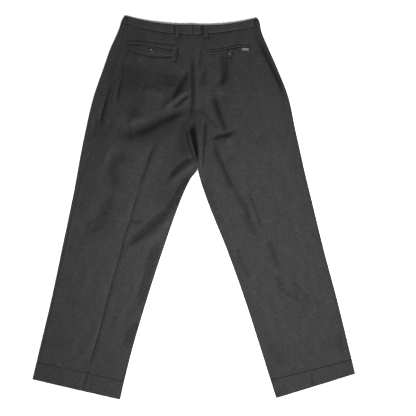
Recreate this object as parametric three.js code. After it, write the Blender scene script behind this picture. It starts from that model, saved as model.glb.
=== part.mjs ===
// Pleated dress trousers laid flat with the back side up, in millimetres.
// +X runs across the garment, +Y from the hems to the waist and +Z up from the table.
// Each half is a flattened tube: the front panel lies on the table, turns round the outer
// fold and meets the back panel at the side seam on top.
import * as THREE from "three";

// ---- Driving sizes ----
const SEAM_GAP = 0.3;
const MIDDLE_Y = 547; // half the height of the laid garment, where the origin lies
// wall: thickness; foldHeight: height of a folded edge; proud: how far it stands above a panel;
// overInner: room kept above the fly, pleats and button between the layers.
const PANEL = { wall: 1.2, foldHeight: 3.6, proud: 0, overInner: 3.4 };
const BAND = { wall: 2.0, foldHeight: 5.0, proud: 0.9, overInner: 2.2 };
const CUFF = { wall: 2.2, foldHeight: 5.6, proud: 1.2, overInner: 0 };
const INNER_PIECES_Y = 850; // the fly and pleats lie above this height
const LEAST_RISE = 0.4;
const OUTER_RISE = 72; // distance from the outer fold at which the cloth reaches its full height
const INNER_RISE = 26; // the same from the inseam
const CROTCH_Y = 660;
const CROTCH_BLEND = 70; // length over which the centre seam turns into the inseam
const BUTTON = { radius: 6.6, thickness: 2.4, segments: 20 };

// Height of the top of the cloth above the table, from the hems up to the waist.
const PUFF = [
  { y: 0, height: 6.2 },
  { y: 150, height: 6.8 },
  { y: 480, height: 8.6 },
  { y: 620, height: 13 },
  { y: 720, height: 19 },
  { y: 850, height: 19 },
  { y: 960, height: 14 },
  { y: 1040, height: 9.4 },
  { y: 1095, height: 6.4 },
];

// Outline of each half seen from above. "inner" is the centre seam above the crotch
// and the inseam below it; "seamInset" is how far inside the outer fold the side seam lies.
const LEFT_OUTLINE = [
  { y: 1094, outer: -196, inner: -6, seamInset: 7 },
  { y: 1076, outer: -206.5, inner: -6, seamInset: 9 },
  { y: 1053, outer: -214, inner: -6, seamInset: 12 },
  { y: 996, outer: -239, inner: -4, seamInset: 22 },
  { y: 939, outer: -259, inner: -1, seamInset: 28 },
  { y: 854, outer: -288, inner: 3, seamInset: 36 },
  { y: 768, outer: -308, inner: 6, seamInset: 37 },
  { y: 683, outer: -325, inner: 9.5, seamInset: 20 },
  { y: CROTCH_Y, outer: -329, inner: 10.5, seamInset: 17 },
  { y: 626, outer: -335, inner: -11, seamInset: 13 },
  { y: 569, outer: -346, inner: -37, seamInset: 9 },
  { y: 426, outer: -376, inner: -88, seamInset: 6 },
  { y: 284, outer: -406, inner: -134, seamInset: 6 },
  { y: 141, outer: -440, inner: -176, seamInset: 6 },
  { y: 58, outer: -459, inner: -197, seamInset: 6 },
  { y: 1, outer: -473, inner: -210, seamInset: 6 },
];
const RIGHT_OUTLINE = [
  { y: 1088, outer: 180, inner: -6, seamInset: 24 },
  { y: 1074, outer: 187.2, inner: -6, seamInset: 23 },
  { y: 1053, outer: 191, inner: -6, seamInset: 22 },
  { y: 996, outer: 214, inner: -4, seamInset: 16 },
  { y: 939, outer: 239, inner: -1, seamInset: 10 },
  { y: 854, outer: 271, inner: 3, seamInset: 6 },
  { y: 768, outer: 289, inner: 6, seamInset: 6 },
  { y: 683, outer: 308, inner: 9.5, seamInset: 6 },
  { y: CROTCH_Y, outer: 313, inner: 10.5, seamInset: 6 },
  { y: 626, outer: 321, inner: 18, seamInset: 6 },
  { y: 569, outer: 335, inner: 37, seamInset: 6 },
  { y: 426, outer: 370, inner: 94, seamInset: 6 },
  { y: 284, outer: 408, inner: 145, seamInset: 6 },
  { y: 141, outer: 443, inner: 191, seamInset: 6 },
  { y: 74, outer: 459, inner: 212, seamInset: 6 },
  { y: 5, outer: 474, inner: 234, seamInset: 6 },
];

// Sections across each half. "steps" divides the stretch down to the next section and
// "bow" is how far the middle of a section dips below the line between its ends.
const LEFT_STATIONS = {
  bandTop: { outerY: 1093, innerY: 1067, bow: 8, steps: 2 },
  bandSeam: { outerY: 1074, innerY: 1039, bow: 8, steps: 9 },
  seat: { outerY: 800, innerY: 770, bow: 0, steps: 4 },
  crotch: { outerY: 700, innerY: CROTCH_Y, bow: 0, steps: 6 },
  knee: { outerY: 440, innerY: 392, bow: 0, steps: 5 },
  cuffTop: { outerY: 106, innerY: 52, bow: 0, steps: 2 },
  hem: { outerY: 58, innerY: 1, bow: 0, steps: 0 },
};
const RIGHT_STATIONS = {
  bandTop: { outerY: 1087, innerY: 1067, bow: 9, steps: 2 },
  bandSeam: { outerY: 1066, innerY: 1039, bow: 5, steps: 9 },
  seat: { outerY: 800, innerY: 770, bow: 0, steps: 4 },
  crotch: { outerY: 700, innerY: CROTCH_Y, bow: 0, steps: 6 },
  knee: { outerY: 440, innerY: 392, bow: 0, steps: 5 },
  cuffTop: { outerY: 114, innerY: 56, bow: 0, steps: 2 },
  hem: { outerY: 74, innerY: 5, bow: 0, steps: 0 },
};

// Largest folds of the back. A negative depth is a trough and a positive one a ridge.
const FOLDS = [
  { name: "centre trough", width: 12, depth: -6, path: [[-26, 985], [-7, 950], [-6, 870], [-16, 800]] },
  { name: "centre ridge", width: 11, depth: 3, path: [[4, 985], [6, 850], [8, 740]] },
  { name: "crotch hollow", width: 13, depth: -15, path: [[-9, 765], [-4, 722], [2, 690]] },
  { name: "crotch ridge", width: 11, depth: 3, path: [[14, 760], [18, 690]] },
  { name: "left seat dart", width: 13, depth: -6, path: [[-18, 935], [-60, 855]] },
  { name: "left seat ridge", width: 12, depth: 4, path: [[-12, 878], [-46, 860], [-86, 825]] },
  { name: "left seat trough", width: 18, depth: -9, path: [[-26, 822], [-94, 792], [-200, 752]] },
  { name: "left hip trough", width: 26, depth: -5, path: [[-180, 697], [-241, 668], [-292, 480]] },
  { name: "left crotch ridge", width: 15, depth: 5, path: [[-4, 672], [-63, 622]] },
  { name: "left thigh trough", width: 17, depth: -6, path: [[-20, 640], [-63, 552], [-178, 445]] },
  { name: "right seat trough", width: 13, depth: -6, path: [[82, 975], [84, 912], [66, 896]] },
  { name: "right seat dart", width: 14, depth: -6, path: [[50, 858], [88, 768]] },
  { name: "right star", width: 11, depth: -4, path: [[56, 744], [112, 764]] },
  { name: "right thigh trough", width: 15, depth: -5, path: [[50, 734], [86, 645], [150, 531], [178, 466]] },
  { name: "left crease", width: 9, depth: 1.6, path: [[-121, 705], [-180, 517], [-262, 227], [-306, 66]] },
  { name: "right crease", width: 9, depth: 1.6, path: [[157, 591], [186, 497], [242, 378]] },
];

// Columns of a back panel from the side seam to the inner edge, as shares of the width.
const BACK_COLUMNS = [0, 0.1, 0.21, 0.32, 0.43, 0.54, 0.64, 0.74, 0.83, 0.9, 0.95, 1];
const FRONT_COLUMNS = [0, 0.3, 0.6, 0.85, 1];
const CUFF_COLUMNS = [0, 0.14, 0.3, 0.42, 0.5, 0.58, 0.7, 0.86, 1];
const QUARTER = Math.PI / 4;

// ---- Helpers on tables and numbers ----
const mix = (a, b, share) => a + (b - a) * share;
const clamp = (value) => Math.min(1, Math.max(0, value));
const smooth = (value) => clamp(value) ** 2 * (3 - 2 * clamp(value));

// Reads a column of a table at a height y, straight between its rows.
function column(table, y, name) {
  const rows = [...table].sort((a, b) => a.y - b.y);
  if (y <= rows[0].y) return rows[0][name];
  const above = rows.findIndex((row) => row.y >= y);
  if (above < 0) return rows.at(-1)[name];
  const [low, high] = [rows[above - 1], rows[above]];
  return mix(low[name], high[name], (y - low.y) / (high.y - low.y));
}

// Distance from a point to a fold's path.
function distanceTo(path, x, y) {
  const point = new THREE.Vector3(x, y, 0);
  const nearest = new THREE.Vector3();
  const distances = path.slice(1).map(([toX, toY], index) => {
    const [fromX, fromY] = path[index];
    const line = new THREE.Line3(new THREE.Vector3(fromX, fromY, 0), new THREE.Vector3(toX, toY, 0));
    return line.closestPointToPoint(point, true, nearest).distanceTo(point);
  });
  return Math.min(...distances);
}

function foldHeight(x, y) {
  return FOLDS.reduce((sum, fold) => {
    const away = distanceTo(fold.path, x, y) / fold.width;
    return sum + fold.depth * Math.exp(-away * away);
  }, 0);
}

// ---- One half of the garment ----
class Half {
  constructor(outline, stations, side) {
    this.outline = outline;
    this.stations = stations;
    this.side = side; // -1 left, +1 right
  }

  // Sections from one named station to another, evenly divided.
  rows(fromName, toName) {
    const names = Object.keys(this.stations);
    const rows = [];
    for (let index = names.indexOf(fromName); index < names.indexOf(toName); index += 1) {
      const [above, below] = [this.stations[names[index]], this.stations[names[index + 1]]];
      for (let step = 0; step < above.steps; step += 1) {
        rows.push(this.row(above, below, step / above.steps));
      }
    }
    const last = this.stations[toName];
    rows.push(this.row(last, last, 0));
    return rows;
  }

  row(above, below, share) {
    const outerY = mix(above.outerY, below.outerY, share);
    const innerY = mix(above.innerY, below.innerY, share);
    const outer = new THREE.Vector2(column(this.outline, outerY, "outer"), outerY);
    const inner = new THREE.Vector2(column(this.outline, innerY, "inner"), innerY);
    inner.x += this.side * (SEAM_GAP / 2);
    const legShare = smooth((CROTCH_Y - innerY) / CROTCH_BLEND);
    const seamInset = column(this.outline, outerY, "seamInset");
    const bow = mix(above.bow, below.bow, share);
    return { outer, inner, length: outer.distanceTo(inner), bow, legShare, seamInset };
  }

  // Point at a distance along a section from its outer fold.
  place(row, along) {
    const share = along / row.length;
    const point = row.outer.clone().lerp(row.inner, share);
    point.y -= row.bow * Math.sin(Math.PI * clamp(share));
    return point;
  }

  // Height of the top of the cloth there.
  top(row, along, cloth) {
    const point = this.place(row, along);
    const inside = mix(1, smooth((row.length - along) / INNER_RISE), row.legShare);
    const rise = smooth(along / OUTER_RISE) * inside;
    const full = column(PUFF, point.y, "height") + foldHeight(point.x, point.y) + cloth.proud;
    const least = cloth.foldHeight + rise * (point.y > INNER_PIECES_Y ? cloth.overInner : LEAST_RISE);
    return Math.max(least, mix(cloth.foldHeight, full, rise));
  }

  // A pair of points, one on each skin of the wall.
  pair(row, outside, inside) {
    const at = ([along, height]) => [...this.place(row, along).toArray(), height];
    return { outer: at(outside), inner: at(inside) };
  }

  topPair(row, along, cloth) {
    const height = this.top(row, along, cloth);
    return this.pair(row, [along, height], [along, height - cloth.wall]);
  }

  floorPair(row, along, cloth) {
    return this.pair(row, [along, 0], [along, cloth.wall]);
  }

  // Points round the outer fold, from the top to the table.
  outerFold(row, cloth) {
    const radius = cloth.foldHeight / 2;
    return [0, 1, 2, 3, 4].map((step) => {
      const angle = Math.PI / 2 + step * QUARTER;
      const on = (r) => [radius + r * Math.cos(angle), radius + r * Math.sin(angle)];
      return this.pair(row, on(radius), on(radius - cloth.wall));
    });
  }

  // The last two points of a panel at its inner edge: upright at the centre seam,
  // and turned in to meet the other panel at the inseam. "up" is 1 for the back panel.
  innerEdge(row, cloth, up) {
    const radius = cloth.foldHeight / 2;
    const centre = row.length - radius;
    const spread = Math.cos(QUARTER);
    const flatAt = (along) => (up > 0 ? this.top(row, along, cloth) : 0);
    const ends = [
      { flat: row.length - radius / 2, turn: spread, lift: spread },
      { flat: row.length, turn: 1, lift: null },
    ];
    return ends.map(({ flat, turn, lift }) => {
      const skin = (r, depth) => {
        const level = flatAt(flat) - up * depth;
        const rise = lift === null ? up * (SEAM_GAP / 2) : up * r * lift;
        return [mix(flat, centre + r * turn, row.legShare), mix(level, radius + rise, row.legShare)];
      };
      return this.pair(row, skin(radius, 0), skin(radius - cloth.wall, cloth.wall));
    });
  }

  backSection(row, cloth) {
    const start = row.seamInset + SEAM_GAP / 2;
    const end = row.length - cloth.foldHeight / 2;
    const across = BACK_COLUMNS.map((share) => this.topPair(row, mix(start, end, share), cloth));
    return [...across, ...this.innerEdge(row, cloth, 1)];
  }

  frontSection(row, cloth) {
    const radius = cloth.foldHeight / 2;
    const seam = row.seamInset - SEAM_GAP / 2;
    const strip = [seam, mix(seam, radius, 0.5)].map((along) => this.topPair(row, along, cloth));
    return [...strip, ...this.outerFold(row, cloth), ...this.floor(row, cloth)];
  }

  floor(row, cloth) {
    const radius = cloth.foldHeight / 2;
    const across = FRONT_COLUMNS.slice(1).map((share) => mix(radius, row.length - radius, share));
    return [...across.map((along) => this.floorPair(row, along, cloth)), ...this.innerEdge(row, cloth, -1)];
  }

  // The waistband runs from the centre back over the top and round to the centre front.
  bandSection(row, cloth) {
    const radius = cloth.foldHeight / 2;
    const shares = BACK_COLUMNS.slice(0, -1);
    const across = shares.map((share) => this.topPair(row, mix(row.length, radius, share), cloth));
    return [...across, ...this.outerFold(row, cloth), ...this.floor(row, cloth)];
  }

  // A cuff is a closed ring round the leg.
  cuffSection(row, cloth) {
    const radius = cloth.foldHeight / 2;
    const along = (share) => mix(row.length - radius, radius, share);
    const over = CUFF_COLUMNS.slice(0, -1).map((share) => this.topPair(row, along(share), cloth));
    const under = [0.75, 0.5, 0.25].map((share) => this.floorPair(row, along(share), cloth));
    const turn = [0, 1, 2, 3].map((step) => {
      const angle = -Math.PI / 2 + step * QUARTER;
      const centre = row.length - radius;
      const on = (r) => [centre + r * Math.cos(angle), radius + r * Math.sin(angle)];
      return this.pair(row, on(radius), on(radius - cloth.wall));
    });
    return [...over, ...this.outerFold(row, cloth), ...under, ...turn];
  }
}

// ---- Making solids ----
// Closed wall between two skins over a grid of sections, "ring" when a section closes on itself.
function wallSolid(sections, ring = false) {
  const across = sections[0].length;
  const last = sections.length - 1;
  const positions = sections.flat().flatMap(({ outer, inner }) => [...outer, ...inner]);
  const faces = [];
  const at = (row, place, skin) => 2 * (row * across + (place % across)) + skin;
  const quad = (a, b, c, d) => faces.push(a, b, c, a, c, d);
  for (let place = 0; place < (ring ? across : across - 1); place += 1) {
    for (let row = 0; row < last; row += 1) {
      quad(at(row, place, 0), at(row, place + 1, 0), at(row + 1, place + 1, 0), at(row + 1, place, 0));
      quad(at(row, place, 1), at(row + 1, place, 1), at(row + 1, place + 1, 1), at(row, place + 1, 1));
    }
    quad(at(0, place, 0), at(0, place, 1), at(0, place + 1, 1), at(0, place + 1, 0));
    quad(at(last, place, 0), at(last, place + 1, 0), at(last, place + 1, 1), at(last, place, 1));
  }
  for (let row = 0; row < last && !ring; row += 1) {
    const end = across - 1;
    quad(at(row, 0, 0), at(row + 1, 0, 0), at(row + 1, 0, 1), at(row, 0, 1));
    quad(at(row, end, 0), at(row, end, 1), at(row + 1, end, 1), at(row + 1, end, 0));
  }
  const geometry = new THREE.BufferGeometry();
  geometry.setAttribute("position", new THREE.Float32BufferAttribute(positions, 3));
  geometry.setIndex(signedVolume(positions, faces) < 0 ? faces.reverse() : faces);
  geometry.computeVertexNormals();
  return geometry;
}

function signedVolume(positions, faces) {
  const corner = (index) => new THREE.Vector3().fromArray(positions, 3 * index);
  let volume = 0;
  for (let face = 0; face < faces.length; face += 3) {
    const [a, b, c] = faces.slice(face, face + 3).map(corner);
    volume += a.dot(b.cross(c)) / 6;
  }
  return volume;
}

// Height of a sewn piece's upper skin at a point, or -Infinity beside it.
function skinHeight(sections, x, y) {
  let height = -Infinity;
  const target = new THREE.Vector3(x, y, 0);
  const weights = new THREE.Vector3();
  for (let row = 0; row < sections.length - 1; row += 1) {
    for (let place = 0; place < sections[0].length - 1; place += 1) {
      const near = [sections[row][place], sections[row][place + 1]];
      const far = [sections[row + 1][place], sections[row + 1][place + 1]];
      const corners = [near[0], near[1], far[1], far[0]].map(({ outer }) => outer);
      for (const triangle of [[0, 1, 2], [0, 2, 3]]) {
        const [a, b, c] = triangle.map((index) => new THREE.Vector3(...corners[index]));
        const flat = [a, b, c].map((corner) => corner.clone().setZ(0));
        const found = THREE.Triangle.getBarycoord(target, ...flat, weights);
        if (found && Math.min(...weights.toArray()) >= -1e-6) {
          height = Math.max(height, weights.dot(new THREE.Vector3(a.z, b.z, c.z)));
        }
      }
    }
  }
  return height;
}

// Highest point of the pieces below, close around a point.
function restHeight(below, x, y, reach = 2.5) {
  const steps = [-reach, 0, reach];
  const heights = steps.flatMap((dx) =>
    steps.flatMap((dy) => below.map((sections) => skinHeight(sections, x + dx, y + dy))),
  );
  return Math.max(...heights);
}

// A piece that lies on others. "edge(share)" gives its two borders there as [x, y] pairs and
// "arch(share)" how far its middle stands off.
function laidSections({ below, edge, across, along, wall, gap = SEAM_GAP, arch = () => 0 }) {
  return Array.from({ length: along + 1 }, (_, step) => {
    const share = step / along;
    const [from, to] = edge(share);
    return Array.from({ length: across + 1 }, (_, place) => {
      const x = mix(from[0], to[0], place / across);
      const y = mix(from[1], to[1], place / across);
      const base = restHeight(below, x, y) + gap + arch(share);
      return { outer: [x, y, base + wall], inner: [x, y, base] };
    });
  });
}

// Borders of a strip read from a table with columns at, high and low.
function stripEdge(table) {
  const rows = table.map(({ x, high, low }) => ({ y: x, high, low }));
  return (share) => {
    const x = mix(table[0].x, table.at(-1).x, share);
    return [[x, column(rows, x, "low")], [x, column(rows, x, "high")]];
  };
}

// ---- Materials ----
const material = (color, roughness) => new THREE.MeshStandardMaterial({ color, roughness, metalness: 0 });
const WOOL = { color: 0x403e3f, roughness: 0.95 };
const HORN = { color: 0x26221f, roughness: 0.35 };
const TAB_CLOTH = { color: 0xc9c8c4, roughness: 0.85 };
const ZIP_TAPE = { color: 0x1c1c1e, roughness: 0.8 };

const trousers = new THREE.Group();
function add(name, geometry, { color, roughness } = WOOL) {
  const mesh = new THREE.Mesh(geometry, material(color, roughness));
  mesh.name = name;
  trousers.add(mesh);
  return mesh;
}

// ---- Panels, waistband and cuffs ----
const halves = {
  left: new Half(LEFT_OUTLINE, LEFT_STATIONS, -1),
  right: new Half(RIGHT_OUTLINE, RIGHT_STATIONS, 1),
};

// Rows of one piece, pulled in by half a seam gap at the ends that are sewn.
function shortened(half, fromName, toName, fromGap, toGap) {
  const rows = half.rows(fromName, toName);
  const shift = (row, distance) => {
    row.outer.y += distance;
    row.inner.y += distance;
  };
  shift(rows[0], -fromGap);
  shift(rows.at(-1), toGap);
  return rows;
}

const backSections = {};
const frontSections = {};
const bandSections = {};
for (const [side, half] of Object.entries(halves)) {
  const panelRows = shortened(half, "bandSeam", "cuffTop", SEAM_GAP / 2, SEAM_GAP / 2);
  const bandRows = shortened(half, "bandTop", "bandSeam", 0, SEAM_GAP / 2);
  const cuffRows = shortened(half, "cuffTop", "hem", SEAM_GAP / 2, 0);
  backSections[side] = panelRows.map((row) => half.backSection(row, PANEL));
  frontSections[side] = panelRows.map((row) => half.frontSection(row, PANEL));
  bandSections[side] = bandRows.map((row) => half.bandSection(row, BAND));
  add(`back_${side}`, wallSolid(backSections[side]));
  add(`front_${side}`, wallSolid(frontSections[side]));
  add(`waistband_${side}`, wallSolid(bandSections[side]));
  add(`cuff_${side}`, wallSolid(cuffRows.map((row) => half.cuffSection(row, CUFF)), true));
}

// ---- Belt loops ----
const LOOP = { width: 8.5, wall: 1.4, arch: 1.6, stand: 0.35 };
const LOOPS = [
  { name: "loop_back_left", side: "left", top: [-50, 1066], foot: [-49, 1035] },
  { name: "loop_back_right", side: "right", top: [28, 1060], foot: [34, 1034] },
  { name: "loop_side_left", side: "left", top: [-194.5, 1086], foot: [-204, 1059] },
  { name: "loop_side_right", side: "right", top: [177.5, 1079], foot: [184.5, 1056] },
];
for (const { name, side, top, foot } of LOOPS) {
  const edge = (share) => {
    const [x, y] = [mix(top[0], foot[0], share), mix(top[1], foot[1], share)];
    return [[x - LOOP.width / 2, y], [x + LOOP.width / 2, y]];
  };
  const sections = laidSections({
    below: [bandSections[side], backSections[side], frontSections[side]],
    edge,
    across: 2,
    along: 8,
    wall: LOOP.wall,
    gap: LOOP.stand,
    arch: (share) => LOOP.arch * Math.sin(Math.PI * share),
  });
  add(name, wallSolid(sections));
}

// ---- Left back pocket: welt, buttoned flap ----
const LEFT_FLAP = [
  { x: -187, high: 1010, low: 1003 },
  { x: -176, high: 1010.5, low: 993.5 },
  { x: -142, high: 1008.5, low: 982.5 },
  { x: -122, high: 1005.5, low: 977.5 },
  { x: -91, high: 999, low: 976.5 },
  { x: -63, high: 994.5, low: 977.5 },
  { x: -55, high: 993.5, low: 982 },
];
const LEFT_WELT = [
  { x: -190, high: 1021, low: 1012 },
  { x: -167, high: 1021.5, low: 1011.5 },
  { x: -142, high: 1018, low: 1009.5 },
  { x: -110, high: 1013.5, low: 1004 },
  { x: -91, high: 1010.5, low: 1000 },
  { x: -52, high: 1007, low: 995 },
];
const POCKET_CLOTH = 1.1;

function addStrip(name, side, table, across, along, extra = []) {
  const below = [backSections[side], ...extra];
  const sections = laidSections({ below, edge: stripEdge(table), across, along, wall: POCKET_CLOTH });
  add(name, wallSolid(sections));
  return sections;
}

// A button with a rounded rim, lying on the pieces below it.
function addButton(name, x, y, below, radius = BUTTON.radius) {
  const base = Math.max(restHeight(below, x, y, radius), restHeight(below, x, y)) + SEAM_GAP;
  const top = BUTTON.thickness;
  const profile = [
    [0, 0],
    [radius - 0.6, 0],
    [radius, 0.7],
    [radius, top - 0.7],
    [radius - 0.6, top],
    [radius - 2, top],
    [radius - 2.6, top - 0.5],
    [0, top - 0.5],
  ].map(([across, height]) => new THREE.Vector2(across, height));
  const geometry = new THREE.LatheGeometry(profile, BUTTON.segments);
  const mesh = add(name, geometry, HORN);
  mesh.rotation.x = Math.PI / 2;
  mesh.position.set(x, y, base);
}

addStrip("pocket_left_welt", "left", LEFT_WELT, 1, 16);
const flap = addStrip("pocket_left_flap", "left", LEFT_FLAP, 3, 16);
addButton("pocket_left_button", -121, 991, [flap]);

// ---- Right back pocket: two jets, a loop with its button and a blank woven tab ----
const RIGHT_JET_UPPER = [
  { x: 40, high: 994.5, low: 989.5 },
  { x: 85, high: 999.5, low: 994.5 },
  { x: 112, high: 1005, low: 1000 },
  { x: 135, high: 1009, low: 1004 },
  { x: 165, high: 1007, low: 1002.5 },
];
const RIGHT_JET_LOWER = RIGHT_JET_UPPER.map(({ x, low }) => ({ x, high: low - 0.7, low: low - 5.7 }));
addStrip("pocket_right_jet_upper", "right", RIGHT_JET_UPPER, 1, 14);
const lowerJet = addStrip("pocket_right_jet_lower", "right", RIGHT_JET_LOWER, 1, 14);
const RIGHT_LOOP = [
  { x: 98, high: 996, low: 986 },
  { x: 104, high: 997, low: 986 },
];
const rightLoop = addStrip("pocket_right_loop", "right", RIGHT_LOOP, 3, 2, [lowerJet]);
addButton("pocket_right_button", 101, 980.5, [backSections.right, rightLoop], 5.2);
const TAB = [
  { x: 136, high: 1002, low: 994 },
  { x: 157, high: 1001.5, low: 993.5 },
];
const tabSections = laidSections({
  below: [backSections.right, lowerJet],
  edge: stripEdge(TAB),
  across: 2,
  along: 4,
  wall: 0.8,
});
add("pocket_right_tab", wallSolid(tabSections), TAB_CLOTH);

// ---- Front pieces between the layers: pleat intakes, fly and waist button ----
function flatPiece(name, corners, bottom, thickness, finish = WOOL) {
  const shape = new THREE.Shape(corners.map(([x, y]) => new THREE.Vector2(x, y)));
  const geometry = new THREE.ExtrudeGeometry(shape, { depth: thickness, bevelEnabled: false });
  geometry.translate(0, 0, bottom);
  add(name, geometry, finish);
}

const LAYER = PANEL.wall + SEAM_GAP;
const PLEATS = [
  { name: "pleat_left_1", x: -104, y: 1044, depth: -34, length: 150 },
  { name: "pleat_left_2", x: -156, y: 1052, depth: -20, length: 110 },
  { name: "pleat_right_1", x: 88, y: 1040, depth: 34, length: 150 },
  { name: "pleat_right_2", x: 134, y: 1046, depth: 20, length: 110 },
];
for (const { name, x, y, depth, length } of PLEATS) {
  const corners = [[x, y], [x + depth, y], [x + depth * 0.35, y - length * 0.7], [x, y - length]];
  flatPiece(name, corners, LAYER, 2 * PANEL.wall);
}

const FLY = { x: -5, top: 1028, length: 175, zipWidth: 26, shieldWidth: 40 };
const flyEnd = FLY.top - FLY.length;
const zipHalf = FLY.zipWidth / 2;
const zipCorners = [
  [FLY.x - zipHalf, FLY.top],
  [FLY.x - zipHalf, flyEnd],
  [FLY.x + zipHalf, flyEnd],
  [FLY.x + zipHalf, FLY.top],
];
flatPiece("fly_zip", zipCorners, LAYER, 1.0, ZIP_TAPE);
const shieldCorners = [
  [FLY.x - FLY.shieldWidth / 2, FLY.top],
  [FLY.x - FLY.shieldWidth / 2, flyEnd + 30],
  [FLY.x - FLY.shieldWidth / 4, flyEnd + 6],
  [FLY.x + FLY.shieldWidth / 2, flyEnd],
  [FLY.x + FLY.shieldWidth / 2, FLY.top],
];
flatPiece("fly_shield", shieldCorners, LAYER + 1.0 + SEAM_GAP, PANEL.wall);

const { radius, thickness, segments } = BUTTON;
const waistButton = new THREE.CylinderGeometry(radius, radius, thickness, segments);
const waistButtonMesh = add("waist_button", waistButton, HORN);
waistButtonMesh.rotation.x = Math.PI / 2;
waistButtonMesh.position.set(-18, 1052, BAND.wall + SEAM_GAP + BUTTON.thickness / 2);

const part = new THREE.Group();
trousers.position.y = -MIDDLE_Y;
part.add(trousers);
export default part;
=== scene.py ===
"""Pleated dress trousers laid flat with the back side up, sewn from wool cloth.

Lengths are millimetres in the tables and metres in the meshes. In the tables y runs from
the hems up to the waist; the finished meshes sit in the frame's own origin.
"""

import logging
import math
from dataclasses import dataclass, replace
from enum import Enum
from typing import Sequence

import bmesh
import bpy
import numpy as np
from mathutils import Matrix, Vector
from mathutils.bvhtree import BVHTree


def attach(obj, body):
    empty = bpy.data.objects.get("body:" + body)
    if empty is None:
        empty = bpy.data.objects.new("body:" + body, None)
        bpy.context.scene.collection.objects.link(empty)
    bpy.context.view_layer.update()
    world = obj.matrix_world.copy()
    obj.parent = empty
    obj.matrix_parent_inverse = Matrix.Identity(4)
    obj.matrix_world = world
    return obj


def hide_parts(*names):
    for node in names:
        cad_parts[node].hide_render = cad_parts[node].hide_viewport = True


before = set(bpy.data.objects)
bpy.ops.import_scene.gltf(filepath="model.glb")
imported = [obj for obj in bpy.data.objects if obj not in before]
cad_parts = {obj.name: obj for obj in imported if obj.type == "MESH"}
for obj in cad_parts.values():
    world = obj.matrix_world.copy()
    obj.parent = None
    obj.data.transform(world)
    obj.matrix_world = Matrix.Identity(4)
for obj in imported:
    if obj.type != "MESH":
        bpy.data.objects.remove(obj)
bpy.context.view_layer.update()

LOG = logging.getLogger("trousers")
MM = 0.001
MIDDLE_Y = 547.0  # half the height of the laid garment
BODY = "root"
CROTCH_Y = 660.0
CROTCH_BLEND = 70.0
SEAM_GAP = 0.2  # between sewn pieces
CENTRE_GAP = 0.004  # the centre seam is pressed shut
OUTER_RISE = 92.0  # distance from the outer fold at which the cloth reaches its full height
INNER_RISE = 26.0  # the same from the inseam
FOLD_START = 20.0  # distance from a folded edge at which creases reach their full depth
NARROW = 5.0  # creases narrower than this are pressed lines without a skirt
SKIRT = 2.4  # how much wider than a fold its skirt is
SKIRT_SHARE = 0.32  # share of a fold's depth that its skirt has
FADE = 0.26  # share of a fold's length over which each end fades
FADE_NARROW = 0.12  # the same of a pressed line
END_DEPTH = 0.2  # share of its depth that a fold keeps at its ends
FULL_PAINTED_SHADE_DEPTH = 18.0  # depth of a fold at which its painted shade is full
PAINTED_SHADE_CURVE = 1.4  # keeps shallow folds free of painted shade
LAYERS_Y = 830.0  # the fly and the pleats lie between the layers above this height
LAYERS_BLEND = 40.0
SINK = 1.2  # how far a trough may sink the cloth below its folded edge
STAND = 0.15  # air under a piece that lies on another
STRIP_REACH = 1.2  # how far around each of its points a laid strip clears the cloth
LOOK_FROM = 100.0  # height from which the top of the cloth is looked for
LEAST_CUT = 0.0101  # smallest width and length of a stated cut, in metres
QUARTER = math.pi / 4
INNER_CROWDING = 1.25  # crowds a back panel's columns towards the centre seam
BACK_COLUMNS = 128
FRONT_COLUMNS = 32
BAND_COLUMNS = 72
CUFF_COLUMNS = 96
UNDER_COLUMNS = 24  # of a waistband or a turn-up, on the table
FOLD_TURN = np.radians(np.arange(90, 271, 22.5))  # half a turn round the outer fold


# ---- Sizes -------------------------------------------------------------------------------


@dataclass(frozen=True)
class Cloth:
    """Wall and standing of one kind of sewn cloth, in millimetres."""

    wall: float
    fold_height: float
    proud: float
    over_inner: float


PANEL = Cloth(wall=1.0, fold_height=3.6, proud=0.0, over_inner=3.4)
BAND = Cloth(wall=1.9, fold_height=5.0, proud=0.6, over_inner=2.2)
CUFF = Cloth(wall=2.1, fold_height=5.6, proud=1.2, over_inner=0.0)


@dataclass(frozen=True)
class Edge:
    """Where the outline of a half lies at a height y: outer fold, inner edge, side seam inset."""

    y: float
    outer: float
    inner: float
    seam: float


@dataclass(frozen=True)
class Station:
    """A section across a half, the rows of mesh down to the next one, and its sag."""

    name: str
    outer_y: float
    inner_y: float
    bow: float
    rows: int


LEFT_EDGES = (
    Edge(1094, -196, -6, 7),
    Edge(1076, -206.5, -6, 9),
    Edge(1053, -214, -6, 12),
    Edge(996, -239, -4, 22),
    Edge(939, -259, -1, 28),
    Edge(854, -288, 3, 36),
    Edge(768, -308, 6, 37),
    Edge(683, -325, 9.5, 20),
    Edge(CROTCH_Y, -329, 10.5, 17),
    Edge(626, -335, -11, 13),
    Edge(569, -346, -37, 9),
    Edge(426, -376, -88, 6),
    Edge(284, -406, -134, 6),
    Edge(141, -440, -176, 6),
    Edge(58, -459, -197, 6),
    Edge(1, -473, -210, 6),
)
RIGHT_EDGES = (
    Edge(1088, 180, -6, 24),
    Edge(1074, 187.2, -6, 23),
    Edge(1053, 191, -6, 22),
    Edge(996, 214, -4, 16),
    Edge(939, 239, -1, 10),
    Edge(854, 271, 3, 6),
    Edge(768, 289, 6, 6),
    Edge(683, 308, 9.5, 6),
    Edge(CROTCH_Y, 313, 10.5, 6),
    Edge(626, 321, 18, 6),
    Edge(569, 335, 37, 6),
    Edge(426, 370, 94, 6),
    Edge(284, 408, 145, 6),
    Edge(141, 443, 191, 6),
    Edge(74, 459, 212, 6),
    Edge(5, 474, 234, 6),
)
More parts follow.
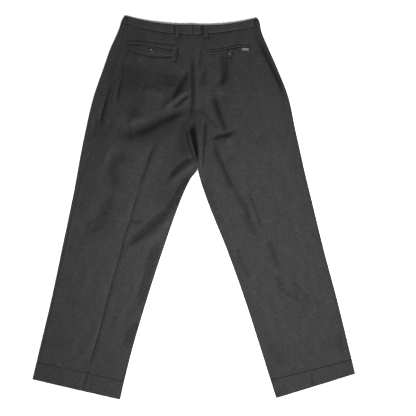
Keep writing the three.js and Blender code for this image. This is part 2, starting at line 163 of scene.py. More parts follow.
LEFT_STATIONS = (
    Station("band_top", 1093, 1067, 8, 8),
    Station("band_seam", 1074, 1039, 8, 98),
    Station("seat", 800, 770, 0, 44),
    Station("crotch", 700, CROTCH_Y, 0, 84),
    Station("knee", 440, 392, 0, 88),
    Station("cuff_top", 106, 52, 0, 12),
    Station("hem", 58, 1, 0, 0),
)
RIGHT_STATIONS = (
    Station("band_top", 1087, 1067, 9, 8),
    Station("band_seam", 1066, 1039, 5, 98),
    Station("seat", 800, 770, 0, 44),
    Station("crotch", 700, CROTCH_Y, 0, 84),
    Station("knee", 440, 392, 0, 88),
    Station("cuff_top", 114, 56, 0, 12),
    Station("hem", 74, 5, 0, 0),
)

# Height of the top of the cloth above the table, from the hems to the waist: (y, height).
PUFF = (
    (0, 6.2),
    (150, 6.8),
    (480, 8.6),
    (620, 13),
    (720, 19),
    (850, 19),
    (960, 14),
    (1040, 9.4),
    (1095, 6.4),
)


class Profile(Enum):
    """Cross-section of a fold."""

    SOFT = "soft"
    SHARP = "sharp"
    GAP = "gap"


@dataclass(frozen=True)
class Fold:
    """One crease. A negative depth is a trough, a positive one a ridge; taper widens it to its end."""

    name: str
    width: float
    depth: float
    path: tuple[tuple[float, float], ...]
    profile: Profile = Profile.SOFT
    taper: float = 1.0

    @property
    def skirt(self) -> float:
        """Share of the depth that fades out far from the path; narrow grooves have none."""
        return SKIRT_SHARE if self.width >= NARROW else 0.0


CENTRE_FOLDS = (
    Fold("centre trough", 5, -6, ((-28, 989), (-9, 959), (-7, 922), (-6, 871), (-11, 817), (-17, 797))),
    Fold("centre ridge", 7, 2.5, ((7, 990), (6, 930), (6, 860), (8, 800))),
    Fold("centre trough right", 6, -4, ((19, 1010), (14, 973), (12, 953), (18, 928), (14, 885))),
    Fold("short trough", 6, -4.5, ((27, 941), (26, 892))),
    # painted shade: the crotch gap's depth darkens the cloth there almost to black
    Fold("crotch gap", 9, -22, ((-6, 780), (-4, 758), (1, 735), (5, 712), (9, 682)), Profile.GAP, 0.3),
    Fold("crotch lip", 4, 4.5, ((-17, 762), (-9, 728), (0, 702), (8, 680))),
    Fold("crotch lip shade", 4.5, -4, ((-22, 772), (-16, 735), (-6, 702), (3, 682))),
    Fold("crotch hollow", 40, -5.6, ((-18, 850), (4, 790), (12, 730), (10, 695))),
    Fold("crotch shade", 15, -5, ((-26, 812), (-34, 770), (-32, 725), (-24, 690))),
    Fold("crotch band", 5, 3, ((12, 770), (15, 715), (20, 668), (24, 645))),
    Fold("crotch line", 4.5, -4, ((32, 795), (29, 765), (28, 734), (25, 694), (22, 657)), taper=0.8),
)
LEFT_SEAT_FOLDS = (
    Fold("seat dart", 8, -9, ((-15, 942), (-31, 911), (-46, 885), (-64, 850)), taper=0.8),
    Fold("seat ridge", 8, 7, ((-11, 879), (-43, 864), (-63, 848), (-88, 824))),
    Fold("seat ridge shade", 5, -6, ((-12, 872), (-40, 848), (-66, 826))),
    Fold("seat ridge low", 6, 4, ((-14, 862), (-32, 840))),
    Fold("seat arc", 11, 5, ((-150, 885), (-111, 876), (-84, 864))),
    Fold("seat trough", 8, -11,
         ((-14, 826), (-48, 814), (-94, 795), (-128, 777), (-168, 762), (-214, 754)), taper=2.2),
    Fold("seat trough shade", 30, -4, ((-30, 792), (-100, 762), (-170, 742))),
    Fold("seat patch", 21, -4, ((-172, 762), (-204, 762), (-226, 772))),
    Fold("seat trough end", 11, -3.5, ((-208, 770), (-232, 782), (-250, 790))),
    Fold("seat soft patch", 20, -3, ((-166, 842), (-186, 812))),
    Fold("seat upper ridge", 12, 5, ((-190, 794), (-162, 796), (-134, 802))),
    Fold("pocket bag end", 4.6, -3.6, ((-191, 993), (-199, 973), (-205, 922), (-214, 888), (-219, 848))),
    Fold("pocket bag inner end", 6, -4.4, ((-47, 993), (-52, 976), (-58, 956))),
    Fold("pocket bag", 54, -6, ((-160, 985), (-150, 930), (-100, 912), (-66, 965))),
    Fold("seat side hollow", 34, -4.4, ((-185, 975), (-190, 900), (-182, 830), (-176, 785))),
    Fold("seat middle hollow", 26, -4.6, ((-66, 935), (-72, 890))),
    Fold("side seam", 4.8, -5, ((-215, 1007), (-226, 965), (-248, 871), (-254, 845), (-268, 780))),
    Fold("side seam low", 7, -3.5, ((-277, 806), (-280, 778), (-283, 750))),
)
LEFT_LEG_FOLDS = (
    Fold("hip trough", 17, -8,
         ((-178, 697), (-220, 692), (-234, 673), (-240, 650), (-235, 620), (-241, 593))),
    Fold("hip trough low", 19, -7, ((-240, 600), (-257, 549), (-271, 513), (-302, 489), (-324, 472))),
    Fold("hip ridge", 8, 2.5, ((-236, 727), (-246, 700), (-256, 666))),
    Fold("inner thigh hollow", 34, -6, ((-30, 752), (-50, 700), (-70, 645), (-92, 585), (-112, 530))),
    Fold("crotch arc", 6, -6, ((4, 688), (-23, 680), (-44, 665), (-63, 643), (-78, 630))),
    Fold("crotch ridge", 8, 5, ((4, 672), (-9, 665), (-37, 646), (-69, 616))),
    Fold("thigh trough", 9, -10, ((-6, 657), (-23, 631), (-44, 597), (-57, 566), (-77, 540), (-94, 526))),
    Fold("thigh trough low", 10, -9,
         ((-76, 548), (-98, 524), (-118, 508), (-140, 488), (-168, 462), (-200, 440))),
    Fold("inseam ridge", 9, 4, ((-60, 522), (-90, 496), (-118, 478))),
    Fold("knee ridge", 9, 4, ((-76, 480), (-120, 468), (-180, 437))),
    Fold("crease high", 6, -5, ((-111, 728), (-124, 705), (-134, 675), (-148, 633), (-157, 608))),
    Fold("crease", 4, -4.5,
         ((-154, 618), (-164, 577), (-174, 546), (-182, 512), (-197, 473), (-211, 418),
          (-228, 358), (-248, 284), (-262, 227), (-279, 164), (-296, 107), (-303, 76)), Profile.SHARP),
    Fold("crease wrinkle", 5, -5, ((-184, 513), (-166, 508), (-150, 510))),
    Fold("inseam trough", 11, -8, ((-92, 462), (-120, 415), (-140, 341), (-162, 278), (-178, 254))),
    Fold("shin trough", 11, -8, ((-154, 226), (-176, 200), (-190, 175), (-200, 142))),
    Fold("knee hollow", 20, -2, ((-262, 508), (-276, 500))),
)
RIGHT_SEAT_FOLDS = (
    Fold("seat trough", 9, -11, ((76, 996), (83, 950), (81, 913), (60, 898))),
    Fold("seat hollow", 14, -3.2, ((82, 874), (80, 842))),
    Fold("seat nick", 6, -2, ((38, 957), (57, 960))),
    Fold("seat dart", 7, -10, ((46, 876), (66, 822), (74, 799), (83, 777), (91, 758))),
    Fold("inner line", 4, -4, ((8, 832), (34, 808), (51, 791), (66, 770))),
    Fold("star", 6, -9, ((48, 744), (74, 752), (93, 755), (115, 767))),
    Fold("star ridge", 8, 5, ((104, 748), (86, 733))),
    Fold("star hollow", 12, -2.6, ((104, 710), (104, 672))),
    Fold("hip nick", 5, -1.8, ((168, 755), (176, 733))),
    Fold("side seam", 6.2, -15,
         ((178, 1044), (201, 985), (218, 950), (235, 916), (247, 888), (256, 846))),
    Fold("hip mark", 6, -2.5, ((277, 776), (284, 740), (284, 694), (285, 666))),
    Fold("thigh mark", 4, -1.6, ((283, 664), (289, 618))),
)
RIGHT_LEG_FOLDS = (
    Fold("thigh trough", 6.5, -9,
         ((49, 738), (58, 711), (66, 688), (77, 668), (88, 640), (98, 617), (114, 593))),
    Fold("thigh trough low", 7.5, -8,
         ((104, 608), (130, 566), (144, 543), (151, 512), (168, 483), (185, 468))),
    Fold("thigh diagonal", 7, -1.8, ((26, 646), (56, 634), (90, 616))),
    Fold("crease", 4, -5.5, ((153, 592), (167, 557), (181, 517), (187, 496)), Profile.SHARP),
    Fold("crease low", 4, -4.5, ((209, 454), (222, 420), (230, 396), (240, 374)), Profile.SHARP),
    Fold("crease low shade", 9, -3.6, ((206, 470), (228, 400), (256, 364))),
    Fold("shin trough", 6, -7, ((216, 366), (238, 338), (254, 312), (285, 294), (297, 270))),
    Fold("shin line", 6, -5, ((270, 345), (300, 312), (328, 284))),
    Fold("inseam streak", 8, -4, ((112, 452), (133, 385), (160, 330))),
    Fold("hem dip", 7, -5, ((417, 198), (411, 170), (421, 126))),
    Fold("hem dip ridge", 6, 3.5, ((429, 196), (423, 168), (433, 124))),
    Fold("hem shade", 18, -5, ((205, 172), (226, 128), (244, 88))),
    Fold("inseam kink", 6, -1.8, ((24, 598), (36, 582))),
    Fold("outer shade", 12, -1.6, ((394, 300), (402, 262))),
)
CUFF_FOLDS = (
    Fold("left cuff crease", 3.5, -5, ((-304, 78), (-312, 55), (-321, 30)), Profile.SHARP),
    Fold("left cuff side crease", 3.5, -1.6, ((-290, 74), (-300, 26)), Profile.SHARP),
    Fold("left cuff notch", 3, -2.6, ((-372, 110), (-381, 96)), Profile.SHARP),
    Fold("right cuff crease", 3.5, -6, ((329, 82), (332, 66), (338, 42)), Profile.SHARP),
)
# Grooves where the cloth is pressed down along seams, loops and pocket edges. Their depth also paints shade
# into the cloth's colour, which stands in for the shadows beside the loops and under the flap and the
# button.
GROOVES = (
    Fold("left band seam", 3.5, -1.3,
         ((-212, 1073), (-157, 1059.5), (-105, 1048.5), (-53, 1042), (-4, 1039))),
    Fold("right band seam", 3.5, -1.3,
         ((187, 1066), (139, 1055.5), (90, 1047.5), (42, 1042), (-8, 1039))),
    Fold("left flap edge", 3.2, -4.2,
         ((-189, 1008), (-184, 1001), (-172, 992), (-142, 982),
          (-120, 977.5), (-91, 976.5), (-64, 977), (-54, 981))),
    Fold("left flap end", 3.4, -4.4, ((-53, 979), (-50, 990), (-48, 1003))),
    Fold("left welt line", 2.6, -1,
         ((-190, 1008), (-194, 1022), (-167, 1024.5), (-110, 1016), (-48, 1009.5))),
    Fold("left mouth line", 2.6, -2, ((-187, 1010.5), (-142, 1009), (-91, 999.5), (-55, 994))),
    Fold("left button shade", 4, -2.4, ((-129, 988), (-124, 984), (-117, 984.5))),
    Fold("right mouth line", 2.4, -3, ((40, 989.5), (85, 994), (112, 999.5), (135, 1003.5), (165, 1002))),
    Fold("right upper line", 2.2, -1.4,
         ((38, 996.5), (85, 1001.5), (112, 1007), (135, 1011), (165, 1009.5))),
    Fold("right lower line", 2.2, -1.6, ((38, 982), (85, 987), (96, 988.5))),
    Fold("right loop line", 2.6, -3,
         ((93, 991), (94, 982), (99, 975.5), (105, 976), (108, 983), (107, 993))),
    Fold("back left loop inner side", 2.7, -8, ((-57, 1069), (-56, 1035))),
    Fold("back left loop outer side", 2.7, -8, ((-43, 1069), (-42, 1035))),
    Fold("back left loop foot", 2.8, -6, ((-57, 1031), (-42, 1031))),
    Fold("back right loop inner side", 3.8, -12, ((20, 1064), (24, 1036))),
    Fold("back right loop outer side", 2.7, -8, ((35, 1062), (41, 1036))),
    Fold("back right loop foot", 2.8, -6, ((26, 1031), (43, 1031))),
    Fold("side right loop", 3.2, -9, ((171, 1082), (178, 1055))),
    Fold("side right loop foot", 2.6, -6, ((179, 1052), (188, 1052))),
    Fold("side left loop", 3, -8, ((-188, 1088), (-197.5, 1057))),
    Fold("centre band seam", 2.4, -1.4, ((-6, 1068), (-6, 1040))),
)
LEFT_FOLDS = LEFT_SEAT_FOLDS + LEFT_LEG_FOLDS
RIGHT_FOLDS = RIGHT_SEAT_FOLDS + RIGHT_LEG_FOLDS
# every trough also darkens the cloth's colour by its depth: painted shade
FOLDS = GROOVES + CENTRE_FOLDS + LEFT_FOLDS + RIGHT_FOLDS + CUFF_FOLDS

# Pressed lines of the hidden front, seen on the side that lies on the table.
FRONT_FOLDS = (
    Fold("left pleat", 2.5, 0.7, ((-104, 1040), (-104, 900)), Profile.SHARP),
    Fold("left small pleat", 2.5, 0.7, ((-156, 1050), (-156, 945)), Profile.SHARP),
    Fold("right pleat", 2.5, 0.7, ((88, 1038), (88, 895)), Profile.SHARP),
    Fold("right small pleat", 2.5, 0.7, ((134, 1044), (134, 940)), Profile.SHARP),
    Fold("left front crease", 3, 0.6, ((-104, 900), (-170, 600), (-230, 380), (-335, 60)), Profile.SHARP),
    Fold("right front crease", 3, 0.6, ((88, 895), (165, 600), (235, 380), (345, 75)), Profile.SHARP),
)

# Gentle unevenness of worn cloth: (height, wavelength across, wavelength along, start).
UNEVEN = (
    (0.28, 83, 131, 0.4),
    (0.22, -57, 97, 1.9),
    (0.12, 43, -71, 3.1),
)


# ---- Curves and fields ---------------------------------------------------------------------


def smooth(value: np.ndarray) -> np.ndarray:
    """Eases a share from 0 to 1.

    Args:
        value: shares, clamped to 0 to 1.

    Returns:
        The eased shares.
    """
    held = np.clip(value, 0.0, 1.0)
    return held * held * (3.0 - 2.0 * held)


def mix(low: np.ndarray, high: np.ndarray, share: np.ndarray) -> np.ndarray:
    """Blends two values by a share."""
    return low + (high - low) * share


def through(places: Sequence[float], values: Sequence[float], at: np.ndarray) -> np.ndarray:
    """Reads a smooth curve that passes through table rows without overshooting them.

    Args:
        places: the rows' positions, in any order.
        values: the value in each row.
        at: where to read the curve.

    Returns:
        The curve's values.
    """
    order = np.argsort(places)
    xs = np.asarray(places, float)[order]
    ys = np.asarray(values, float)[order]
    steps = np.diff(xs)
    slopes = np.diff(ys) / steps
    product = slopes[:-1] * slopes[1:]
    inner = np.where(product > 0, 2 * product / (slopes[:-1] + slopes[1:] + 1e-12), 0.0)
    tangents = np.concatenate([slopes[:1], inner, slopes[-1:]])
    held = np.clip(at, xs[0], xs[-1])
    span = np.clip(np.searchsorted(xs, held, side="right") - 1, 0, len(steps) - 1)
    t = (held - xs[span]) / steps[span]
    rise = steps[span]
    return (
        (2 * t**3 - 3 * t**2 + 1) * ys[span]
        + (t**3 - 2 * t**2 + t) * rise * tangents[span]
        + (3 * t**2 - 2 * t**3) * ys[span + 1]
        + (t**3 - t**2) * rise * tangents[span + 1]
    )


def rounded_path(points: Sequence[tuple[float, float]], pieces: int = 5) -> np.ndarray:
    """Turns a short list of points into a smooth open path.

    Args:
        points: the path's own points.
        pieces: how many stretches each span is divided into.

    Returns:
        The finer points, one row each.
    """
    given = np.asarray(points, float)
    if len(given) < 3:
        return given
    padded = np.vstack([2 * given[0] - given[1], given, 2 * given[-1] - given[-2]])
    fine = [given[:1]]
    for before, start, end, after in zip(padded, padded[1:], padded[2:], padded[3:]):
        t = (np.arange(1, pieces + 1) / pieces)[:, None]
        fine.append(
            0.5 * (2 * start + (end - before) * t + (2 * before - 5 * start + 4 * end - after) * t**2
                   + (3 * start - before - 3 * end + after) * t**3)
        )
    return np.vstack(fine)


class FoldField:
    """Height that the folds add at a place on the laid garment."""

    def __init__(self, folds: Sequence[Fold]) -> None:
        """Rounds every fold's path once."""
        self.folds = [(fold, rounded_path(fold.path)) for fold in folds]

    @staticmethod
    def nearest(path: np.ndarray, x: np.ndarray, y: np.ndarray) -> tuple[np.ndarray, np.ndarray]:
        """Finds the signed distance to a path and how far along it that is.

        Args:
            path: the path's points.
            x: across the garment.
            y: up the garment.

        Returns:
            Distances, positive to the left of the path's run, and shares of its length.
        """
        best = np.full(x.shape, 1e9)
        signed = np.zeros(x.shape)
        share = np.zeros(x.shape)
        runs = np.hypot(*np.diff(path, axis=0).T)
        total = runs.sum()
        done = 0.0
        for start, end, run in zip(path, path[1:], runs):
            step = (end - start) / run
            t = np.clip((x - start[0]) * step[0] + (y - start[1]) * step[1], 0, run)
            away_x = x - start[0] - t * step[0]
            away_y = y - start[1] - t * step[1]
            away = np.hypot(away_x, away_y)
            side = np.sign(step[0] * (y - start[1]) - step[1] * (x - start[0]))
            closer = away < best
            best = np.where(closer, away, best)
            signed = np.where(closer, away * side, signed)
            share = np.where(closer, (done + t) / total, share)
            done += run
        return signed, share

    def height(self, x: np.ndarray, y: np.ndarray) -> np.ndarray:
        """Adds up all folds at the given places.

        Args:
            x: across the garment, millimetres.
            y: up the garment, millimetres.

        Returns:
            Height to add, millimetres.
        """
        total = np.zeros(x.shape)
        for fold, path in self.folds:
            reach = 3.0 * fold.width * max(1.0, fold.taper) * (SKIRT if fold.skirt else 1.0)
            low, high = path.min(axis=0) - reach, path.max(axis=0) + reach
            near = (x > low[0]) & (x < high[0]) & (y > low[1]) & (y < high[1])
            if not near.any():
                continue
            away, share = self.nearest(path, x[near], y[near])
            scaled = away / (fold.width * mix(1.0, fold.taper, share))
            if fold.profile is Profile.SHARP:
                shape = np.exp(-np.abs(scaled))
            elif fold.profile is Profile.GAP:
                shape = np.exp(-(scaled**4))
            else:
                skirt = np.exp(-((scaled / SKIRT) ** 2))
                shape = mix(np.exp(-(scaled**2)), skirt, fold.skirt)
            fade = FADE if fold.skirt else FADE_NARROW
            ends = mix(END_DEPTH, 1.0, smooth(share / fade) * smooth((1 - share) / fade))
            total[near] += fold.depth * shape * ends
        return total


def unevenness(x: np.ndarray, y: np.ndarray) -> np.ndarray:
    """Height of the slight waves that worn cloth keeps, in millimetres.

    Args:
        x: across the garment.
        y: up the garment.

    Returns:
        Height to add.
    """
    return sum(
        height * np.sin(math.tau * (x / across + y / along) + start)
        for height, across, along, start in UNEVEN
    )


FIELD = FoldField(FOLDS)
FRONT_FIELD = FoldField(FRONT_FOLDS)


# ---- One half of the garment -----------------------------------------------------------------


@dataclass
class Rows:
    """Sections of a half as arrays, one entry a section."""

    outer: np.ndarray
    inner: np.ndarray
    bow: np.ndarray
    leg: np.ndarray
    seam: np.ndarray

    @property
    def length(self) -> np.ndarray:
        """Length of each section from the outer fold to the inner edge."""
        return np.hypot(*(self.inner - self.outer).T)

    @property
    def count(self) -> int:
        """Number of sections."""
        return len(self.bow)


@dataclass
class HalfForm:
    """The flattened tube that one half of the trousers makes on the table."""

    side: str
    edges: tuple[Edge, ...]
    stations: tuple[Station, ...]

    def _read(self, column: str, y: np.ndarray) -> np.ndarray:
        """Reads one column of the outline at heights y."""
        return through([edge.y for edge in self.edges], [getattr(edge, column) for edge in self.edges], y)

    def rows(self, start: str, end: str, share: float = 1.0, trim: tuple[float, float] = (0, 0)) -> Rows:
        """Makes the sections between two stations.

        Args:
            start: name of the upper station.
            end: name of the lower station.
            share: share of the stations' own row counts.
            trim: how far the first row is lowered and the last one raised.

        Returns:
            The sections.
        """
        names = [station.name for station in self.stations]
        used = self.stations[names.index(start) : names.index(end) + 1]
        shares = []
        for index, station in enumerate(used[:-1]):
            steps = max(1, round(station.rows * share))
            shares.extend(index + np.arange(steps) / steps)
        shares.append(len(used) - 1)
        marks = np.arange(len(used))
        at = np.asarray(shares)
        outer_y = np.interp(at, marks, [station.outer_y for station in used])
        inner_y = np.interp(at, marks, [station.inner_y for station in used])
        for index, shift in ((0, -trim[0]), (-1, trim[1])):
            outer_y[index] += shift
            inner_y[index] += shift
        away = CENTRE_GAP / 2 * (-1 if self.side == "left" else 1)
        return Rows(
            outer=np.stack([self._read("outer", outer_y), outer_y], axis=1),
            inner=np.stack([self._read("inner", inner_y) + away, inner_y], axis=1),
            bow=np.interp(at, marks, [station.bow for station in used]),
            leg=smooth((CROTCH_Y - inner_y) / CROTCH_BLEND),
            seam=self._read("seam", outer_y),
        )

    def place(self, rows: Rows, along: np.ndarray) -> np.ndarray:
        """Finds points on the table at distances from the outer fold.

        Args:
            rows: the sections.
            along: distances, one row for each section.

        Returns:
            Points, x and y last.
        """
        share = along / rows.length[:, None]
        points = mix(rows.outer[:, None, :], rows.inner[:, None, :], share[..., None])
        points[..., 1] -= rows.bow[:, None] * np.sin(np.pi * np.clip(share, 0, 1))
        return points

    def top(self, rows: Rows, along: np.ndarray, cloth: Cloth) -> np.ndarray:
        """Height of the upper skin at distances from the outer fold.

        Args:
            rows: the sections.
            along: distances, one row for each section.
            cloth: the kind of cloth that lies there.

        Returns:
            Heights above the table.
        """
        points = self.place(rows, along)
        x, y = points[..., 0], points[..., 1]
        inside = (rows.length[:, None] - along) / INNER_RISE
        rise = smooth(along / OUTER_RISE) * mix(1.0, smooth(inside), rows.leg[:, None])
        full = through([row[0] for row in PUFF], [row[1] for row in PUFF], y) + cloth.proud
        folded = FIELD.height(x, y) * smooth(along / FOLD_START)
        folded = folded * mix(1.0, smooth((rows.length[:, None] - along) / FOLD_START), rows.leg[:, None])
        least = cloth.fold_height + rise * cloth.over_inner * smooth((y - LAYERS_Y) / LAYERS_BLEND)
        least = least - SINK * smooth(along / FOLD_START) * smooth((LAYERS_Y - y) / LAYERS_BLEND)
        return np.maximum(least, mix(cloth.fold_height, full, rise) + folded + unevenness(x, y) * rise)

    def join(self, rows: Rows, along: np.ndarray, height: np.ndarray) -> np.ndarray:
        """Joins places and heights into points with three coordinates."""
        return np.concatenate([self.place(rows, along), height[..., None]], axis=-1)

    def over(self, rows: Rows, along: np.ndarray, cloth: Cloth) -> np.ndarray:
        """Points on the upper layer."""
        return self.join(rows, along, self.top(rows, along, cloth))

    def under(self, rows: Rows, along: np.ndarray) -> np.ndarray:
        """Points on the layer that lies on the table.

        Args:
            rows: the sections.
            along: distances from the outer fold.

        Returns:
            The points.
        """
        points = self.place(rows, along)
        pressed = np.maximum(0.0, FRONT_FIELD.height(points[..., 0], points[..., 1]))
        return self.join(rows, along, pressed)

    def turn(self, rows: Rows, cloth: Cloth, angles: np.ndarray, inner: bool = False) -> np.ndarray:
        """Points round a folded edge.

        Args:
            rows: the sections.
            cloth: the cloth folded.
            angles: from straight up at 90 degrees, turning outwards, in radians.
            inner: whether the inseam's fold is meant, not the outer one.

        Returns:
            The points.
        """
        radius = cloth.fold_height / 2
        centre = rows.length - radius if inner else np.full(rows.count, radius)
        along = centre[:, None] + radius * np.cos(angles)[None, :]
        height = np.broadcast_to(radius + radius * np.sin(angles)[None, :], along.shape)
        return self.join(rows, along, height)

    def inner_end(self, rows: Rows, cloth: Cloth, upper: bool) -> np.ndarray:
        """Last points of a panel, upright at the centre seam and turned in at the inseam.

        Args:
            rows: the sections.
            cloth: the kind of cloth.
            upper: whether the upper layer is meant.

        Returns:
            The points, four for each section.
        """
        radius = cloth.fold_height / 2
        sign = 1 if upper else -1
        angles = sign * np.radians([67.5, 45.0, 22.5, 5.0])
        turned = self.turn(rows, cloth, angles, inner=True)
        shares = np.array([0.3, 0.55, 0.8, 1.0])
        along = rows.length[:, None] - radius * (1 - shares)[None, :]
        flat = self.over(rows, along, cloth) if upper else self.under(rows, along)
        return mix(flat, turned, rows.leg[:, None, None])

    def back_panel(self, columns: int) -> np.ndarray:
        """Grid of the back panel, from the side seam to the inner edge.

        Args:
            columns: points across its laid part.

        Returns:
            The grid.
        """
        rows = self.rows("band_seam", "cuff_top", trim=(SEAM_GAP / 2, SEAM_GAP / 2))
        start = rows.seam + SEAM_GAP / 2
        end = rows.length - PANEL.fold_height / 2
        shares = 1 - (1 - np.linspace(0, 1, columns)) ** INNER_CROWDING
        along = mix(start[:, None], end[:, None], shares[None, :])
        return np.concatenate([self.over(rows, along, PANEL), self.inner_end(rows, PANEL, True)], axis=1)

    def front_panel(self, columns: int) -> np.ndarray:
        """Grid of the front panel: the strip on top, the outer fold and the layer below.

        Args:
            columns: points across the layer below.

        Returns:
            The grid.
        """
        rows = self.rows("band_seam", "cuff_top", trim=(SEAM_GAP / 2, SEAM_GAP / 2))
        radius = PANEL.fold_height / 2
        seam = rows.seam - SEAM_GAP / 2
        strip = mix(seam[:, None], np.full((rows.count, 1), radius), np.linspace(0, 1, 9)[None, :-1])
        fold = self.turn(rows, PANEL, FOLD_TURN)
        end = rows.length - radius
        shares = np.linspace(0, 1, columns)[None, 1:]
        below = self.under(rows, mix(np.full((rows.count, 1), radius), end[:, None], shares))
        last = self.inner_end(rows, PANEL, False)
        return np.concatenate([self.over(rows, strip, PANEL), fold, below, last], axis=1)

    def band(self, columns: int) -> np.ndarray:
        """Grid of a waistband half, from the centre back round to the centre front.

        Args:
            columns: points across its upper layer.

        Returns:
            The grid.
        """
        rows = self.rows("band_top", "band_seam", trim=(0, CENTRE_GAP / 2))
        radius = BAND.fold_height / 2
        shares = np.linspace(0, 1, columns)[None, :-1]
        top = mix(rows.length[:, None], np.full((rows.count, 1), radius), shares)
        fold = self.turn(rows, BAND, FOLD_TURN)
        shares = np.linspace(0, 1, UNDER_COLUMNS)[None, 1:]
        below = self.under(rows, mix(np.full((rows.count, 1), radius), rows.length[:, None], shares))
        return np.concatenate([self.over(rows, top, BAND), fold, below], axis=1)

    def cuff(self, columns: int) -> np.ndarray:
        """Grid of a turn-up, a ring whose last column meets its first.

        Args:
            columns: points across its upper layer.

        Returns:
            The grid.
        """
        rows = self.rows("cuff_top", "hem", trim=(SEAM_GAP / 2, 0))
        radius = CUFF.fold_height / 2
        end = rows.length[:, None] - radius
        top = mix(end, np.full((rows.count, 1), radius), np.linspace(0, 1, columns)[None, :-1])
        fold = self.turn(rows, CUFF, FOLD_TURN)
        shares = np.linspace(0, 1, UNDER_COLUMNS)[None, 1:-1]
        below = self.under(rows, mix(np.full((rows.count, 1), radius), end, shares))
        close = self.turn(rows, CUFF, np.radians(np.arange(-90, 90.1, 22.5)), inner=True)
        return np.concatenate([self.over(rows, top, CUFF), fold, below, close], axis=1)


# ---- Finishes ----------------------------------------------------------------------------------


def srgb(code: str) -> tuple[float, float, float, float]:
    """Turns an sRGB hex code into a linear colour.

    Args:
        code: six hex digits.

    Returns:
        Red, green, blue and alpha.
    """
    parts = [int(code[place : place + 2], 16) / 255 for place in (0, 2, 4)]
    linear = [part / 12.92 if part <= 0.04045 else ((part + 0.055) / 1.055) ** 2.4 for part in parts]
    return (*linear, 1.0)


def add_node(
    tree: bpy.types.NodeTree, kind: str, inputs: dict | None = None, **settings: object
) -> bpy.types.Node:
    """Adds a shader node with its settings, values and links.

    Args:
        tree: the material's node tree.
        kind: the node's type.
        inputs: values or output sockets for its inputs, by name or number.
        settings: the node's own properties.

    Returns:
        The node.
    """
    node = tree.nodes.new(kind)
    for key, value in settings.items():
        setattr(node, key, value)
    for key, value in (inputs or {}).items():
        if isinstance(value, bpy.types.NodeSocket):
            tree.links.new(value, node.inputs[key])
        else:
            node.inputs[key].default_value = value
    return node


def empty_material(name: str) -> tuple[bpy.types.Material, bpy.types.NodeTree]:
    """Makes a material whose node tree is still empty.

    Args:
        name: the finish's name.

    Returns:
        The material and its node tree.
    """
    material = bpy.data.materials.new(name)
    material.use_nodes = True
    material.node_tree.nodes.clear()
    return material, material.node_tree


def two_tone(
    tree: bpy.types.NodeTree, share: bpy.types.NodeSocket, low: tuple[float, str], high: tuple[float, str]
) -> bpy.types.NodeSocket:
    """Blends two colours by a share, and holds each beyond its own position.

    Args:
        tree: the material's node tree.
        share: the share read.
        low: position and hex code of the lower colour.
        high: the same of the upper one.

    Returns:
        The colour.
    """
    ramp = add_node(tree, "ShaderNodeValToRGB", {"Fac": share})
    for element, (position, code) in zip(ramp.color_ramp.elements, (low, high)):
        element.position = position
        element.color = srgb(code)
    return ramp.outputs[0]


